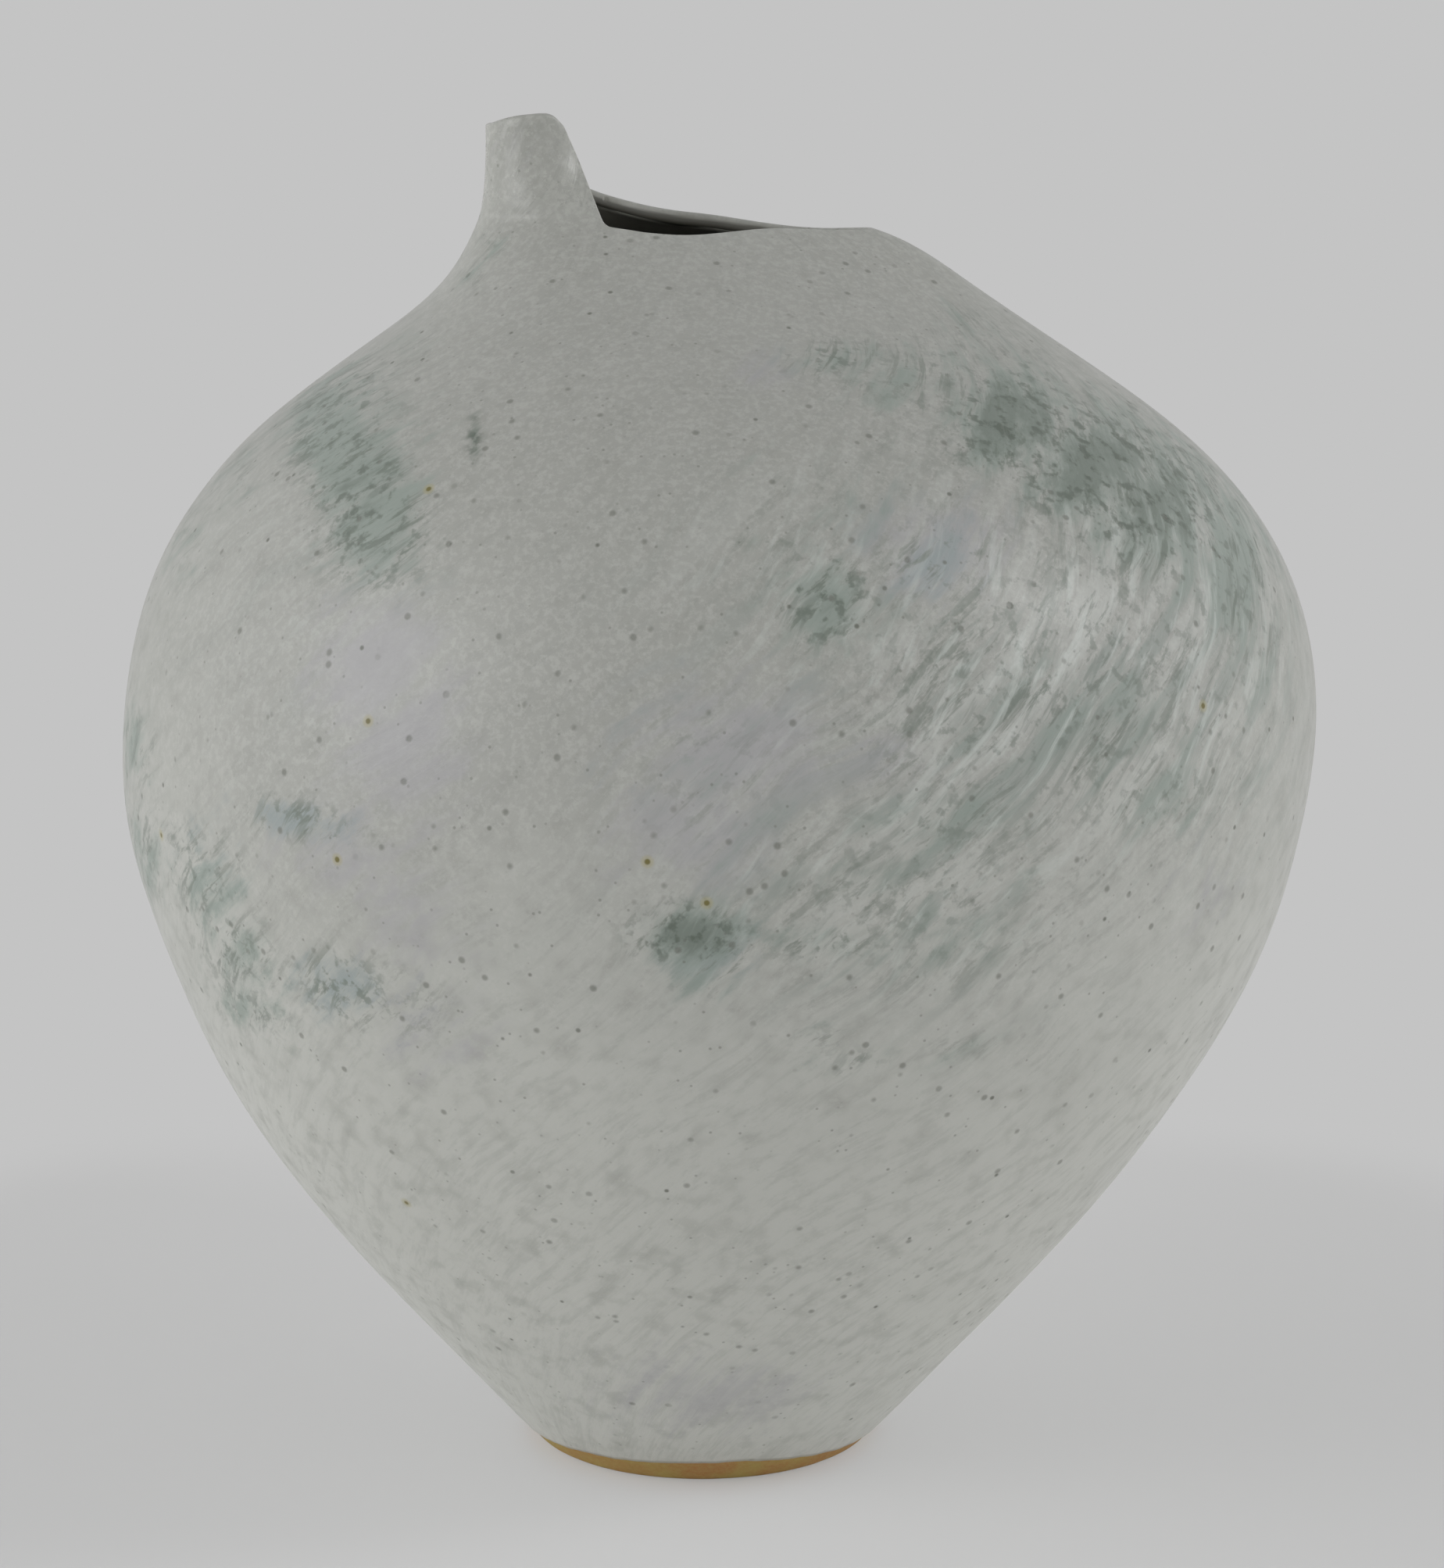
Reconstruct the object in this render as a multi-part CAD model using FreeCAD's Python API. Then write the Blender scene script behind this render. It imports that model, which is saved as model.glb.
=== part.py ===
import FreeCAD, Part
import math
import os

Vector = FreeCAD.Vector

# A hand-built stoneware vessel, in millimetres. The origin is the middle of the foot on the ground,
# X runs to the right as the vessel is seen from the front, Y to the back and Z up.

# Outer form: rises from the ground to the belly, on to the lip, and on to the top of the peak
BELLY_HEIGHT = 160.0
SHOULDER_RISE = 115.5
PEAK_RISE = 25.0
LIP_HEIGHT = BELLY_HEIGHT + SHOULDER_RISE
PEAK_HEIGHT = LIP_HEIGHT + PEAK_RISE

# Outer form: reaches from the middle
FOOT_RADIUS = 38.4
BELLY_LEFT = 129.4
BELLY_RIGHT = 137.2
BELLY_FRONT = 127.0
BELLY_BACK = 125.5
MOUTH_LEFT = 49.4
MOUTH_RIGHT = 35.8
MOUTH_FRONT = 20.0
MOUTH_BACK = 24.0
MOUTH_SHIFT = 18.0

# The raised curl at the left end of the mouth, a tube that is cut open on its right
CURL_LEFT_RADIUS = 10.8
CURL_RIGHT_RADIUS = 11.0
CURL_DEPTH = 10.6
CURL_LEFT_REACH = 47.0

# Walls and coats
FLOOR_THICKNESS = 8.0
WALL_AT_FOOT = 5.6
WALL_AT_BELLY = 4.6
WALL_AT_LIP = 2.1
GLAZE_THICKNESS = 0.6
LINER_THICKNESS = 0.4

# Seams between the pieces of clay
COIL_HEIGHT = 9.0
COIL_WIDTH = 8.0
COIL_EDGE = 0.5
BELLY_SEAM_DROP = 32.0
BELLY_STRIP_HEIGHT = 9.0
BELLY_STRIP_SHARE = 0.5
COLLAR_HEIGHT = 13.0
PEAK_PIECE_DROP = 4.0
PEAK_PIECE_REACH = 16.0
BELLY_SEAM_HEIGHT = BELLY_HEIGHT - BELLY_SEAM_DROP

# The cut of the rim
PEAK_ROOT_REACH = 20.6
PEAK_EDGE_REACH = 29.2
PEAK_FALL = 2.6
ROOT_FILLET = 3.0
BACK_RISE_START = 10.0
LIP_SWAY = 2.0

# The lower edge of the outer coat dips like a trough
COAT_LINE_HEIGHT = 2.0
COAT_LINE_RADIUS = 420.0
COAT_LINE_SHIFT = 10.0

OVERRUN = 12.0

# Stations from the foot to the belly: share of the height, then for left, right, front and back
# the share of the way from the foot's radius to the belly's reach
LOWER_SHARES = (
    (0.0, 0.0, 0.0, 0.0, 0.0),
    (0.156, 0.245, 0.235, 0.24, 0.245),
    (0.344, 0.526, 0.498, 0.51, 0.515),
    (0.531, 0.743, 0.717, 0.73, 0.73),
    (0.719, 0.892, 0.88, 0.885, 0.885),
    (0.906, 0.985, 0.969, 0.98, 0.98),
)

# Stations from the belly to the mouth: share of the height, the shares of the way from the mouth's
# reach to the belly's, then how far the widest place has moved to the mouth's, and the taper of
# the right half towards a point
UPPER_SHARES = (
    (0.13, 0.98, 0.991, 0.985, 0.98, 0.0, 0.0),
    (0.39, 0.864, 0.907, 0.9, 0.9, 0.0, 0.0),
    (0.609, 0.621, 0.694, 0.73, 0.72, 0.1, 0.04),
    (0.783, 0.289, 0.414, 0.46, 0.46, 0.33, 0.2),
    (0.904, 0.081, 0.209, 0.195, 0.2, 0.67, 0.45),
    (1.0, 0.0, 0.0, 0.0, 0.0, 1.0, 0.6),
)

# Stations from the mouth up through the curl: share of the rise, then the shares of the way from
# the curl's reach back to the mouth's, and the taper
CURL_SHARES = (
    (0.18, 0.42, 0.5, 0.42, 0.5, 0.45, 0.5),
    (0.37, 0.16, 0.17, 0.2, 0.28, 0.15, 0.25),
    (0.6, 0.02, 0.03, 0.06, 0.1, 0.03, 0.05),
    (0.88, 0.0, 0.0, 0.0, 0.0, 0.0, 0.0),
    (1.3, 0.0, 0.0, 0.0, 0.0, 0.0, 0.0),
)

# The lip in front, from its right end to the peak's root: shares of its run and of its sway
FRONT_LIP_SHARES = (
    (0.0, -0.15),
    (0.17, 0.05),
    (0.36, 0.35),
    (0.485, 0.25),
    (0.7, 0.0),
    (0.85, 0.3),
    (1.0, 0.9),
)

# The lip behind, from its right end to where it starts to rise: shares of its run and of its sway
BACK_LIP_SHARES = (
    (0.0, -0.15),
    (0.15, -0.35),
    (0.42, -0.6),
    (0.75, -0.4),
)

# The back rim's sweep up to the peak: shares of its run to the left and of its rise
BACK_SWEEP_SHARES = (
    (0.0, 0.0),
    (0.137, 0.051),
    (0.274, 0.09),
    (0.382, 0.142),
    (0.493, 0.222),
    (0.602, 0.32),
    (0.712, 0.475),
    (0.812, 0.655),
    (0.912, 0.835),
    (0.972, 0.93),
    (1.0, 1.0),
)

# The peak's top in front, from its right edge to its left: shares of its run and of its height
CREST_SHARES = (
    (0.0, -0.12),
    (0.05, 0.31),
    (0.11, 0.71),
    (0.18, 0.94),
    (0.27, 1.0),
    (0.42, 0.94),
    (0.57, 0.84),
    (0.72, 0.66),
    (0.86, 0.37),
    (1.0, 0.0),
)

SECTION_COUNT = 32
POINT_COUNT = 32
CORNER_STEPS = 6

# Where each layer's section curves start, as a share of a turn from the right
OUTER_START_SHARE = 0.015
CLAY_START_SHARE = 0.04
CAVITY_START_SHARE = 0.26
LINER_START_SHARE = 0.3
STEEPEST_SLOPE = 2.0


def blend(low, high, share):
    return low + (high - low) * share


def stations():
    """Rows of height, left, right, front, back, middle and taper, from the foot to above the peak."""
    rows = []
    for height, left, right, front, back in LOWER_SHARES:
        rows.append([
            BELLY_HEIGHT * height,
            -blend(FOOT_RADIUS, BELLY_LEFT, left),
            blend(FOOT_RADIUS, BELLY_RIGHT, right),
            -blend(FOOT_RADIUS, BELLY_FRONT, front),
            blend(FOOT_RADIUS, BELLY_BACK, back),
            0.0,
            0.0,
        ])
    for height, left, right, front, back, shift, taper in UPPER_SHARES:
        rows.append([
            blend(BELLY_HEIGHT, LIP_HEIGHT, height),
            -blend(MOUTH_LEFT, BELLY_LEFT, left),
            blend(MOUTH_RIGHT, BELLY_RIGHT, right),
            -blend(MOUTH_FRONT, BELLY_FRONT, front),
            blend(MOUTH_BACK, BELLY_BACK, back),
            -MOUTH_SHIFT * shift,
            taper,
        ])
    curl_middle = CURL_LEFT_RADIUS - CURL_LEFT_REACH
    curl_right = curl_middle + CURL_RIGHT_RADIUS
    for height, left, right, front, back, shift, taper in CURL_SHARES:
        rows.append([
            blend(LIP_HEIGHT, PEAK_HEIGHT, height),
            -blend(CURL_LEFT_REACH, MOUTH_LEFT, left),
            blend(curl_right, MOUTH_RIGHT, right),
            -blend(CURL_DEPTH, MOUTH_FRONT, front),
            blend(CURL_DEPTH, MOUTH_BACK, back),
            blend(curl_middle, -MOUTH_SHIFT, shift),
            taper,
        ])
    return rows


class Spline:
    """A natural cubic spline through rows of numbers, with a position along them for each row."""

    def __init__(self, rows):
        self.rows = rows
        self.at = [0.0]
        for before, after in zip(rows, rows[1:]):
            rise = after[0] - before[0]
            run = (after[1] - before[1] - after[2] + before[2]) / 2
            self.at.append(self.at[-1] + math.hypot(rise, run))
        columns = [self.bends([row[i] for row in rows]) for i in range(len(rows[0]))]
        self.second = [list(values) for values in zip(*columns)]

    def bends(self, values):
        """Second derivatives at the rows, from the usual three-term equations."""
        count = len(values)
        upper = [0.0] * count
        right = [0.0] * count
        for i in range(1, count - 1):
            before = self.at[i] - self.at[i - 1]
            after = self.at[i + 1] - self.at[i]
            slope = (values[i + 1] - values[i]) / after - (values[i] - values[i - 1]) / before
            pivot = 2 * (before + after) - before * upper[i - 1]
            upper[i] = after / pivot
            right[i] = (6 * slope - before * right[i - 1]) / pivot
        for i in range(count - 2, 0, -1):
            right[i] -= upper[i] * right[i + 1]
        return right

    def value(self, place):
        """The row at a place along the spline, and its derivative."""
        i = 0
        while i < len(self.at) - 2 and place > self.at[i + 1]:
            i += 1
        span = self.at[i + 1] - self.at[i]
        b = (place - self.at[i]) / span
        a = 1 - b
        row = []
        slope = []
        ends = zip(self.rows[i], self.rows[i + 1], self.second[i], self.second[i + 1])
        for low, high, low_bend, high_bend in ends:
            bow = ((a ** 3 - a) * low_bend + (b ** 3 - b) * high_bend) * span ** 2 / 6
            row.append(a * low + b * high + bow)
            turn = ((3 * b ** 2 - 1) * high_bend - (3 * a ** 2 - 1) * low_bend) * span / 6
            slope.append((high - low) / span + turn)
        return row, slope

    def place(self, height):
        """The place along the spline where it reaches a height."""
        low = 0.0
        high = self.at[-1]
        while high - low > 1e-7 * self.at[-1]:
            middle = (low + high) / 2
            if self.value(middle)[0][0] < height:
                low = middle
            else:
                high = middle
        return low


FORM = Spline(stations())
TOP = FORM.rows[-1][0] + OVERRUN


def wall_thickness(height):
    """The clay wall thins from the foot to the belly and on to the lip."""
    if height < BELLY_HEIGHT:
        return blend(WALL_AT_FOOT, WALL_AT_BELLY, height / BELLY_HEIGHT)
    share = min((height - BELLY_HEIGHT) / (LIP_HEIGHT - BELLY_HEIGHT), 1.0)
    return blend(WALL_AT_BELLY, WALL_AT_LIP, share)


def insets(row, slope, wall_share, coat):
    """How far a layer's level section lies inside the form on its left, right, front and back."""
    depth = wall_share * wall_thickness(row[0]) + coat
    result = []
    for reach in slope[1:5]:
        steepness = min(abs(reach) / slope[0], STEEPEST_SLOPE)
        result.append(depth * math.hypot(1, steepness))
    return result


def section(place, wall_share, coat, start_share, corner=0.0):
    """A level section at a place along the form, inside it by a share of the wall and a coat."""
    row, slope = FORM.value(place)
    inset = insets(row, slope, wall_share, coat)
    height = row[0]
    left = row[1] + inset[0] + corner
    right = row[2] - inset[1] - corner
    front = row[3] + inset[2] + corner
    back = row[4] - inset[3] - corner
    middle = row[5]
    taper = max(row[6], 0.0)
    points = []
    for i in range(POINT_COUNT):
        angle = 2 * math.pi * (i / POINT_COUNT + start_share)
        along = math.cos(angle)
        aside = math.sin(angle)
        if along > 0:
            x = middle + (right - middle) * along
            narrowing = 1 - taper * along ** 2
        else:
            x = middle + (middle - left) * along
            narrowing = 1.0
        y = (back if aside > 0 else -front) * aside * narrowing
        points.append(Vector(x, y, height))
    curve = Part.BSplineCurve()
    steps = list(range(POINT_COUNT + 1))
    curve.interpolate(Points=points, PeriodicFlag=True, Parameters=steps)
    return Part.Wire([curve.toShape()])


def form_solid(wall_share, coat, start_share):
    """The solid inside a layer of the form, from the ground to above the peak."""
    sections = []
    for i in range(SECTION_COUNT + 1):
        place = FORM.at[-1] * i / SECTION_COUNT
        sections.append(section(place, wall_share, coat, start_share))
    return Part.makeLoft(sections, True, False)


def corner_solid(wall_share, coat, floor, start_share):
    """The space inside the coil in the corner above a floor, on into the wall's straight part."""
    sections = []
    for step in range(-1, CORNER_STEPS + 2):
        share = step / CORNER_STEPS
        corner = COIL_EDGE + COIL_WIDTH * max(1 - share, 0.0) ** 2
        place = FORM.place(floor + COIL_HEIGHT * share)
        sections.append(section(place, wall_share, coat, start_share, corner))
    return Part.makeLoft(sections, True, False)


def rounded_path(corners):
    """Edges along corners given as x, z and fillet radius."""
    edges = []
    last = Vector(corners[0][0], 0, corners[0][1])
    for before, corner, after in zip(corners, corners[1:], corners[2:]):
        point = Vector(corner[0], 0, corner[1])
        back = (Vector(before[0], 0, before[1]) - point).normalize()
        ahead = (Vector(after[0], 0, after[1]) - point).normalize()
        half_turn = back.getAngle(ahead) / 2
        reach = corner[2] / math.tan(half_turn)
        start = point + back * reach
        end = point + ahead * reach
        edges.append(Part.makeLine(last, start))
        if corner[2] > 0:
            inward = (back + ahead).normalize()
            middle = point + inward * (corner[2] / math.sin(half_turn) - corner[2])
            edges.append(Part.Arc(start, middle, end).toShape())
        last = end
    edges.append(Part.makeLine(last, Vector(corners[-1][0], 0, corners[-1][1])))
    return edges


def prism(edges, depth):
    """A solid above a path in the XZ plane, closed over the top and drawn out along Y."""
    start = edges[0].Vertexes[0].Point
    end = edges[-1].Vertexes[-1].Point
    over_start = Vector(start.x, 0, TOP)
    over_end = Vector(end.x, 0, TOP)
    closing = [
        Part.makeLine(end, over_end),
        Part.makeLine(over_end, over_start),
        Part.makeLine(over_start, start),
    ]
    wire = Part.Wire(Part.__sortEdges__(edges + closing))
    return Part.Face(wire).extrude(Vector(0, depth, 0))


def lip_points(end, shares):
    """Points in the XZ plane along the swaying lip, from the right end of the mouth to an end."""
    points = []
    for run, rise in shares:
        points.append(Vector(blend(MOUTH_RIGHT, end, run), 0, LIP_HEIGHT + LIP_SWAY * rise))
    return points


def smooth_path(points):
    """A level edge from beyond the right of the form, then one curve through points."""
    start = Vector(BELLY_RIGHT + OVERRUN, 0, points[0].z)
    curve = Part.BSplineCurve()
    curve.interpolate(Points=points)
    return [Part.makeLine(start, points[0]), curve.toShape()]


def crest_edge(root):
    """The peak's top in front: one curve that leaves the peak's slanting edge without a corner."""
    low = PEAK_HEIGHT - PEAK_FALL
    points = []
    for run, rise in CREST_SHARES:
        points.append(Vector(-blend(PEAK_EDGE_REACH, CURL_LEFT_REACH, run), 0, blend(low, PEAK_HEIGHT, rise)))
    slant = (points[0] - root).normalize()
    fall = (points[-1] - points[-2]).normalize()
    curve = Part.BSplineCurve()
    curve.interpolate(Points=points, InitialTangent=slant, FinalTangent=fall)
    return curve.toShape()


def rim_cutters(drop):
    """What is cut away above the rim, in front and behind, lowered by a coat's thickness."""
    crest_end = Vector(-CURL_LEFT_REACH, 0, PEAK_HEIGHT - PEAK_FALL)
    level_end = Part.makeLine(crest_end, Vector(-BELLY_LEFT - OVERRUN, 0, crest_end.z))
    front = lip_points(-PEAK_ROOT_REACH, FRONT_LIP_SHARES)
    crest = crest_edge(front[-1])
    crest_start = crest.Vertexes[0].Point
    front_path = smooth_path(front[:-1]) + rounded_path([
        (front[-2].x, front[-2].z, 0),
        (front[-1].x, front[-1].z, ROOT_FILLET),
        (crest_start.x, crest_start.z, 0),
    ]) + [crest, level_end]
    back = lip_points(BACK_RISE_START, BACK_LIP_SHARES)
    for run, rise in BACK_SWEEP_SHARES:
        x = blend(BACK_RISE_START, crest_end.x, run)
        back.append(Vector(x, 0, blend(LIP_HEIGHT, crest_end.z, rise)))
    back_path = smooth_path(back) + [level_end]
    cutters = [
        prism(front_path, -BELLY_FRONT - OVERRUN),
        prism(back_path, BELLY_BACK + OVERRUN),
    ]
    for cutter in cutters:
        cutter.translate(Vector(-drop, 0, -drop))
    return cutters


def slice_box(low, high):
    """Everything between two heights."""
    width = BELLY_LEFT + BELLY_RIGHT + 2 * OVERRUN
    length = BELLY_FRONT + BELLY_BACK + 2 * OVERRUN
    corner = Vector(-BELLY_LEFT - OVERRUN, -BELLY_FRONT - OVERRUN, low)
    return Part.makeBox(width, length, high - low, corner)


def coat_zone():
    """The trough in which the outer coat ends above the bare foot."""
    start = Vector(-BELLY_LEFT - OVERRUN, COAT_LINE_SHIFT, COAT_LINE_HEIGHT + COAT_LINE_RADIUS)
    length = BELLY_LEFT + BELLY_RIGHT + 2 * OVERRUN
    return Part.makeCylinder(COAT_LINE_RADIUS, length, start, Vector(1, 0, 0))


def hollow(wall_share, coat, floor, start_share):
    """The space inside a layer above its floor, narrowed at the bottom by the corner coil."""
    coil_top = floor + COIL_HEIGHT
    wide = form_solid(wall_share, coat, start_share).common(slice_box(coil_top, TOP))
    low = corner_solid(wall_share, coat, floor, start_share).common(slice_box(floor, coil_top))
    return wide.fuse(low)


def build():
    outer = form_solid(0, 0, OUTER_START_SHARE)
    clay_outer = form_solid(0, GLAZE_THICKNESS, CLAY_START_SHARE)
    wall_inside = form_solid(1, GLAZE_THICKNESS, CAVITY_START_SHARE)
    seam_depth = form_solid(BELLY_STRIP_SHARE, GLAZE_THICKNESS, OUTER_START_SHARE)
    cavity = hollow(1, GLAZE_THICKNESS, FLOOR_THICKNESS, CAVITY_START_SHARE)
    coats = GLAZE_THICKNESS + LINER_THICKNESS
    lined_cavity = hollow(1, coats, FLOOR_THICKNESS + LINER_THICKNESS, LINER_START_SHARE)

    clay_rim = rim_cutters(GLAZE_THICKNESS)
    clay_core = clay_outer.cut(clay_rim)
    coil_zone = slice_box(FLOOR_THICKNESS, FLOOR_THICKNESS + COIL_HEIGHT)
    seam_low = BELLY_SEAM_HEIGHT - BELLY_STRIP_HEIGHT / 2
    strip_zone = seam_depth.common(slice_box(seam_low, seam_low + BELLY_STRIP_HEIGHT))
    collar_low = LIP_HEIGHT - COLLAR_HEIGHT
    peak_zone = slice_box(LIP_HEIGHT - PEAK_PIECE_DROP, TOP)
    peak_zone.translate(Vector(-BELLY_RIGHT - OVERRUN - PEAK_PIECE_REACH, 0, 0))
    mouth = clay_core.common(slice_box(collar_low, TOP)).cut(wall_inside)
    lower = clay_core.common(slice_box(FLOOR_THICKNESS, BELLY_SEAM_HEIGHT))
    upper = clay_core.common(slice_box(BELLY_SEAM_HEIGHT, collar_low))
    coat = outer.cut(rim_cutters(0)).common(coat_zone())
    return {
        "base_slab": clay_core.common(slice_box(0, FLOOR_THICKNESS)),
        "base_seam_coil": wall_inside.common(coil_zone).cut(cavity),
        "lower_bowl": lower.cut(wall_inside).cut(strip_zone),
        "belly_seam_coil": strip_zone.cut(wall_inside),
        "upper_bowl": upper.cut(wall_inside).cut(strip_zone),
        "mouth_collar": mouth.cut(peak_zone),
        "lip_peak": mouth.common(peak_zone),
        "outer_glaze": coat.cut(clay_core).cut(lined_cavity),
        "inner_glaze": cavity.cut(clay_rim).cut(lined_cavity),
    }


def main():
    os.makedirs("parts", exist_ok=True)
    for name, shape in build().items():
        print(name, shape.isValid(), len(shape.Solids), round(shape.Volume))
        shape.exportStep("parts/" + name + ".step")


main()
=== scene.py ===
import math

import bpy
import numpy as np
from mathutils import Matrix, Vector


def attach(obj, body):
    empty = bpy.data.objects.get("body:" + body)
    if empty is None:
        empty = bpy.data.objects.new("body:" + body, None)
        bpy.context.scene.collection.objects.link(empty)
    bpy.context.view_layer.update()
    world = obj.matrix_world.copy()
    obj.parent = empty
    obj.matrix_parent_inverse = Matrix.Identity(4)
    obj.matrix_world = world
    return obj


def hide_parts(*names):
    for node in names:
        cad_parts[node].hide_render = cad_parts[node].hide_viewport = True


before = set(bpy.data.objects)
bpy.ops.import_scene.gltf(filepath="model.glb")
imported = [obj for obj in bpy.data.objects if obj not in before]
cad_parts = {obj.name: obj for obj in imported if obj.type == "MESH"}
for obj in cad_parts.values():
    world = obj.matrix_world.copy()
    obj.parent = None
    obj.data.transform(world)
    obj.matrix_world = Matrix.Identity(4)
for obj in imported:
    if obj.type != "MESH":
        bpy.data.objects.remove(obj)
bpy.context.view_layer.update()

# Values are in millimetres. The origin is the middle of the foot on the ground, X runs to the
# right as the vase is seen from the front, Y to the back and Z up.
MM = 0.001

# The outer form, the same as the frame's
BELLY_HEIGHT = 160.0
SHOULDER_RISE = 115.5
PEAK_RISE = 25.0
LIP_HEIGHT = BELLY_HEIGHT + SHOULDER_RISE
PEAK_HEIGHT = LIP_HEIGHT + PEAK_RISE
FOOT_RADIUS = 38.4
BELLY_LEFT = 129.4
BELLY_RIGHT = 137.2
BELLY_FRONT = 127.0
BELLY_BACK = 125.5
MOUTH_LEFT = 49.4
MOUTH_RIGHT = 35.8
MOUTH_FRONT = 20.0
MOUTH_BACK = 24.0
MOUTH_SHIFT = 18.0
CURL_LEFT_RADIUS = 10.8
CURL_RIGHT_RADIUS = 11.0
CURL_DEPTH = 10.6
CURL_LEFT_REACH = 47.0
CURL_MIDDLE = CURL_LEFT_RADIUS - CURL_LEFT_REACH

# Walls and coats
FLOOR_THICKNESS = 8.0
WALL_AT_FOOT = 5.6
WALL_AT_BELLY = 4.6
WALL_AT_LIP = 2.1
GLAZE_THICKNESS = 0.6
LINER_THICKNESS = 0.4
COIL_HEIGHT = 9.0
COIL_WIDTH = 8.0
COLLAR_DEPTH = 13.0
COLLAR_BASE = LIP_HEIGHT - COLLAR_DEPTH
COLLAR_STEP = 1.0

# The cut of the rim
PEAK_ROOT_REACH = 20.6
PEAK_EDGE_REACH = 29.2
PEAK_FALL = 2.6
ROOT_FILLET = 3.0
PEAK_SLANT_END = 0.9
BACK_RISE_START = 10.0
LIP_SWAY = 2.0

# Stations from the foot to the belly: share of the height, then for left, right, front and back
# the share of the way from the foot's radius to the belly's reach
LOWER_SHARES = (
    (0.0, 0.0, 0.0, 0.0, 0.0),
    (0.156, 0.245, 0.235, 0.24, 0.245),
    (0.344, 0.526, 0.498, 0.51, 0.515),
    (0.531, 0.743, 0.717, 0.73, 0.73),
    (0.719, 0.892, 0.88, 0.885, 0.885),
    (0.906, 0.985, 0.969, 0.98, 0.98),
)

# Stations from the belly to the mouth: share of the height, the shares of the way from the mouth's
# reach to the belly's, the widest place's shift, and the taper of the right half
UPPER_SHARES = (
    (0.13, 0.98, 0.991, 0.985, 0.98, 0.0, 0.0),
    (0.39, 0.864, 0.907, 0.9, 0.9, 0.0, 0.0),
    (0.609, 0.621, 0.694, 0.73, 0.72, 0.1, 0.04),
    (0.783, 0.289, 0.414, 0.46, 0.46, 0.33, 0.2),
    (0.904, 0.081, 0.209, 0.195, 0.2, 0.67, 0.45),
    (1.0, 0.0, 0.0, 0.0, 0.0, 1.0, 0.6),
)

# Stations from the mouth up through the curl: share of the rise, the shares of the way from the
# curl's reach back to the mouth's, and the taper
CURL_SHARES = (
    (0.18, 0.42, 0.5, 0.42, 0.5, 0.45, 0.5),
    (0.37, 0.16, 0.17, 0.2, 0.28, 0.15, 0.25),
    (0.6, 0.02, 0.03, 0.06, 0.1, 0.03, 0.05),
    (0.88, 0.0, 0.0, 0.0, 0.0, 0.0, 0.0),
    (1.3, 0.0, 0.0, 0.0, 0.0, 0.0, 0.0),
)

# The lip in front, from its right end to the peak's root: shares of its run and of its sway
FRONT_LIP_SHARES = (
    (0.0, -0.15),
    (0.17, 0.05),
    (0.36, 0.35),
    (0.485, 0.25),
    (0.7, 0.0),
    (0.85, 0.3),
    (1.0, 0.9),
)

# The lip behind, from its right end to where it starts to rise: shares of its run and of its sway
BACK_LIP_SHARES = (
    (0.0, -0.15),
    (0.15, -0.35),
    (0.42, -0.6),
    (0.75, -0.4),
)

# The back rim's sweep up to the peak: shares of its run to the left and of its rise
BACK_SWEEP_SHARES = (
    (0.0, 0.0),
    (0.137, 0.051),
    (0.274, 0.09),
    (0.382, 0.142),
    (0.493, 0.222),
    (0.602, 0.32),
    (0.712, 0.475),
    (0.812, 0.655),
    (0.912, 0.835),
    (0.972, 0.93),
    (1.0, 1.0),
)

# The peak's top in front, from its right edge to its left: shares of its run and of its height
CREST_SHARES = (
    (0.0, -0.12),
    (0.05, 0.31),
    (0.11, 0.71),
    (0.18, 0.94),
    (0.27, 1.0),
    (0.42, 0.94),
    (0.57, 0.84),
    (0.72, 0.66),
    (0.86, 0.37),
    (1.0, 0.0),
)

# The glaze's lower edge: angles around the foot in degrees, and heights above the ground
GLAZE_LINE = (
    (0.0, 1.8),
    (35.0, 2.6),
    (75.0, 3.8),
    (110.0, 2.9),
    (150.0, 1.6),
    (180.0, 1.9),
    (200.0, 2.8),
    (212.0, 3.5),
    (228.0, 4.4),
    (250.0, 4.9),
    (272.0, 5.8),
    (296.0, 4.9),
    (310.0, 3.7),
    (335.0, 2.2),
    (360.0, 1.8),
)
GLAZE_LINE_RIPPLE = 0.25
GLAZE_EDGE_ROLL = 0.45

# The rolled rim and the glaze that laps over it on to the inside
RIM_BAND = 0.4
RIM_BAND_RIPPLE = 0.25
RIM_BAND_PROUD = 0.1
RIM_DRIP = 0.9
RIM_DRIP_REACH = -5.6
RIM_DRIP_WIDTH = 3.0
RIM_SWELL = 0.12
RIM_ROUND = 0.75
LINER_LAP = 0.3
LINER_DARK = 4.0
LINER_CLEAR = 16.0
RIM_WEAR = 0.9
# Where the painted shade on the rim's inner face begins past the crest, its ripple and its fade
RIM_LIT = -0.3
RIM_LIT_RIPPLE = 0.4
RIM_LIT_FADE = 0.5
BAND_SHARES = (0.0, 0.35, 0.7, 0.92)

# How deep the hand-made form's hollows go
WOBBLE_DEPTH = 0.42
WOBBLE_FADE = 30.0

# The foot
FOOT_EDGE_ROUND = 0.9
FOOT_EDGE_CHIP = 0.25
FLOOR_RIDGE = 0.35
FLOOR_RIDGES = 5
SLAB_TOP_SHARES = (0.9, 0.6, 0.3)

# Ripples: a seed, and the longest and shortest of their waves
GLAZE_LINE_WAVES = (11, 14.0, 3.0)
RIM_SWELL_WAVES = (3, 60.0, 9.0)
RIM_BAND_WAVES = (17, 26.0, 6.0)
RIM_LIT_WAVES = (29, 22.0, 6.0)
WOBBLE_WAVES = (5, 90.0, 26.0)
FOOT_CHIP_WAVES = (23, 12.0, 2.5)
WAVE_COUNT = 24
WOBBLE_WAVE_COUNT = 40
WAVE_SPREAD = 3.0

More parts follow.
